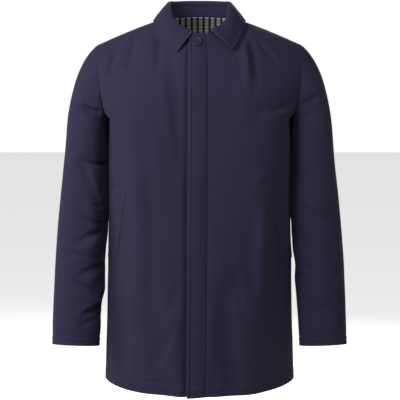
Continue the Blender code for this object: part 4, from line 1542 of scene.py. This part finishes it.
@dataclass(frozen=True)
class Lining:
    """The check lining inside the back of the neck."""

    def cloth(self, back: Cloth) -> Cloth:
        """The lining, creased with the back that it lies on."""
        return Cloth("back_lining", LINING_SHELL, FOLDED, SEWN, SEWN, SEWN, cut=(465.0, 300.0),
                     cut_share=0.85, creases=back.creases, hand=Hand(wall=0.8),
                     slot=Slot.LINING)


@dataclass(frozen=True)
class Buttonhole:
    """The worked slit that the neck button comes through, from its middle outwards."""

    height: float = -41.5
    start: float = -8.0
    end: float = 13.5
    apart: float = 1.05
    bar_step: float = 0.8
    bar_out: float = 0.6
    worked: Thread = Thread(pitch=0.62, length=1.7, thick=0.6, sunk=0.05, slant=40.0)

    SPOTS = 12

    def build(self, cloth: Cloth, finish: bpy.types.Material) -> bpy.types.Object:
        """Work both sides of the slit and its outer end."""
        spread = np.linspace(self.start, self.end, self.SPOTS)
        lines = []
        for side in (-self.apart, self.apart):
            spots = [cloth.spot(across, self.height + side) for across in spread]
            lines.append(tuple(np.array(part) for part in zip(*spots)))
        heights = np.linspace(-2.0, 2.0, 5) * self.apart * self.bar_step
        spots = [cloth.spot(self.end + self.bar_out, self.height + up) for up in heights]
        lines.append(tuple(np.array(part) for part in zip(*spots)))
        return self.worked.sew("neck_buttonhole", lines, finish)


class Coat:
    """Every piece of the coat, dressed and placed on the body."""

    def __init__(self) -> None:
        """Mix the finishes."""
        effects = Effects()
        self.navy = NavyCloth().material(effects)
        self.check = CheckLining().material(effects)
        self.satin = Grained("sleeve lining", (24, 24, 38), (30, 30, 46), 30.0, 0.1,
                             (0.35, 0.5)).material(effects)
        self.thread = Grained("navy thread", (33, 31, 50), (46, 44, 66), 0.9, 0.1,
                              (0.65, 0.8), specular=0.2).material(effects)
        self.resin = Grained("button resin", (26, 25, 38), (42, 40, 60), 5.0, 0.04,
                             (0.48, 0.62), stretch=(1.0, 1.0, 2.5),
                             specular=0.25).material(effects)

    def place(self, piece: bpy.types.Object, slot: Slot, *nodes: str) -> None:
        """Put a piece on the body, in place of the nodes that it stands for."""
        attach(piece, BODY)
        if nodes:
            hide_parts(*nodes)
        log.info("%s: %d faces", piece.name, len(piece.data.polygons))

    def dress(self, cloth: Cloth, inside: bpy.types.Material) -> None:
        """Make one piece of cloth and sew its stitch lines."""
        outside = self.check if cloth.slot is Slot.LINING else self.navy
        piece = cloth.build(outside, inside)
        self.place(piece, cloth.slot, cloth.node)
        lines = cloth.stitch_lines()
        if lines:
            self.place(Thread().sew(f"{cloth.node}_stitches", lines, self.thread), Slot.CLOTH)

    def build(self) -> None:
        """Build every piece."""
        fronts, sleeves, collar, pockets = Fronts(), Sleeves(), Collar(), Pockets()
        front, other, back = fronts.left(), fronts.right(), Back(fronts).cloth()
        for cloth in (front, other, back):
            self.dress(cloth, self.check)
        for cloth in (sleeves.left(), sleeves.right()):
            self.dress(cloth, self.satin)
        for cloth in (collar.leaf(), collar.stand(), pockets.welt("left", front),
                      pockets.welt("right", other)):
            self.dress(cloth, self.navy)
        self.dress(Lining().cloth(back), self.check)
        button = NeckButton()
        self.place(button.build(self.resin), Slot.BUTTON, button.node)
        self.place(button.build_thread(self.thread), Slot.CLOTH)
        self.place(Buttonhole().build(front, self.thread), Slot.CLOTH)


def main() -> None:
    """Load the frame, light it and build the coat."""
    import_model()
    studio = Studio()
    studio.camera()
    studio.lights()
    studio.surroundings()
    studio.floor()
    Coat().build()


if __name__ == "__main__":
    logging.basicConfig(level=logging.INFO, format="%(message)s")
    main()
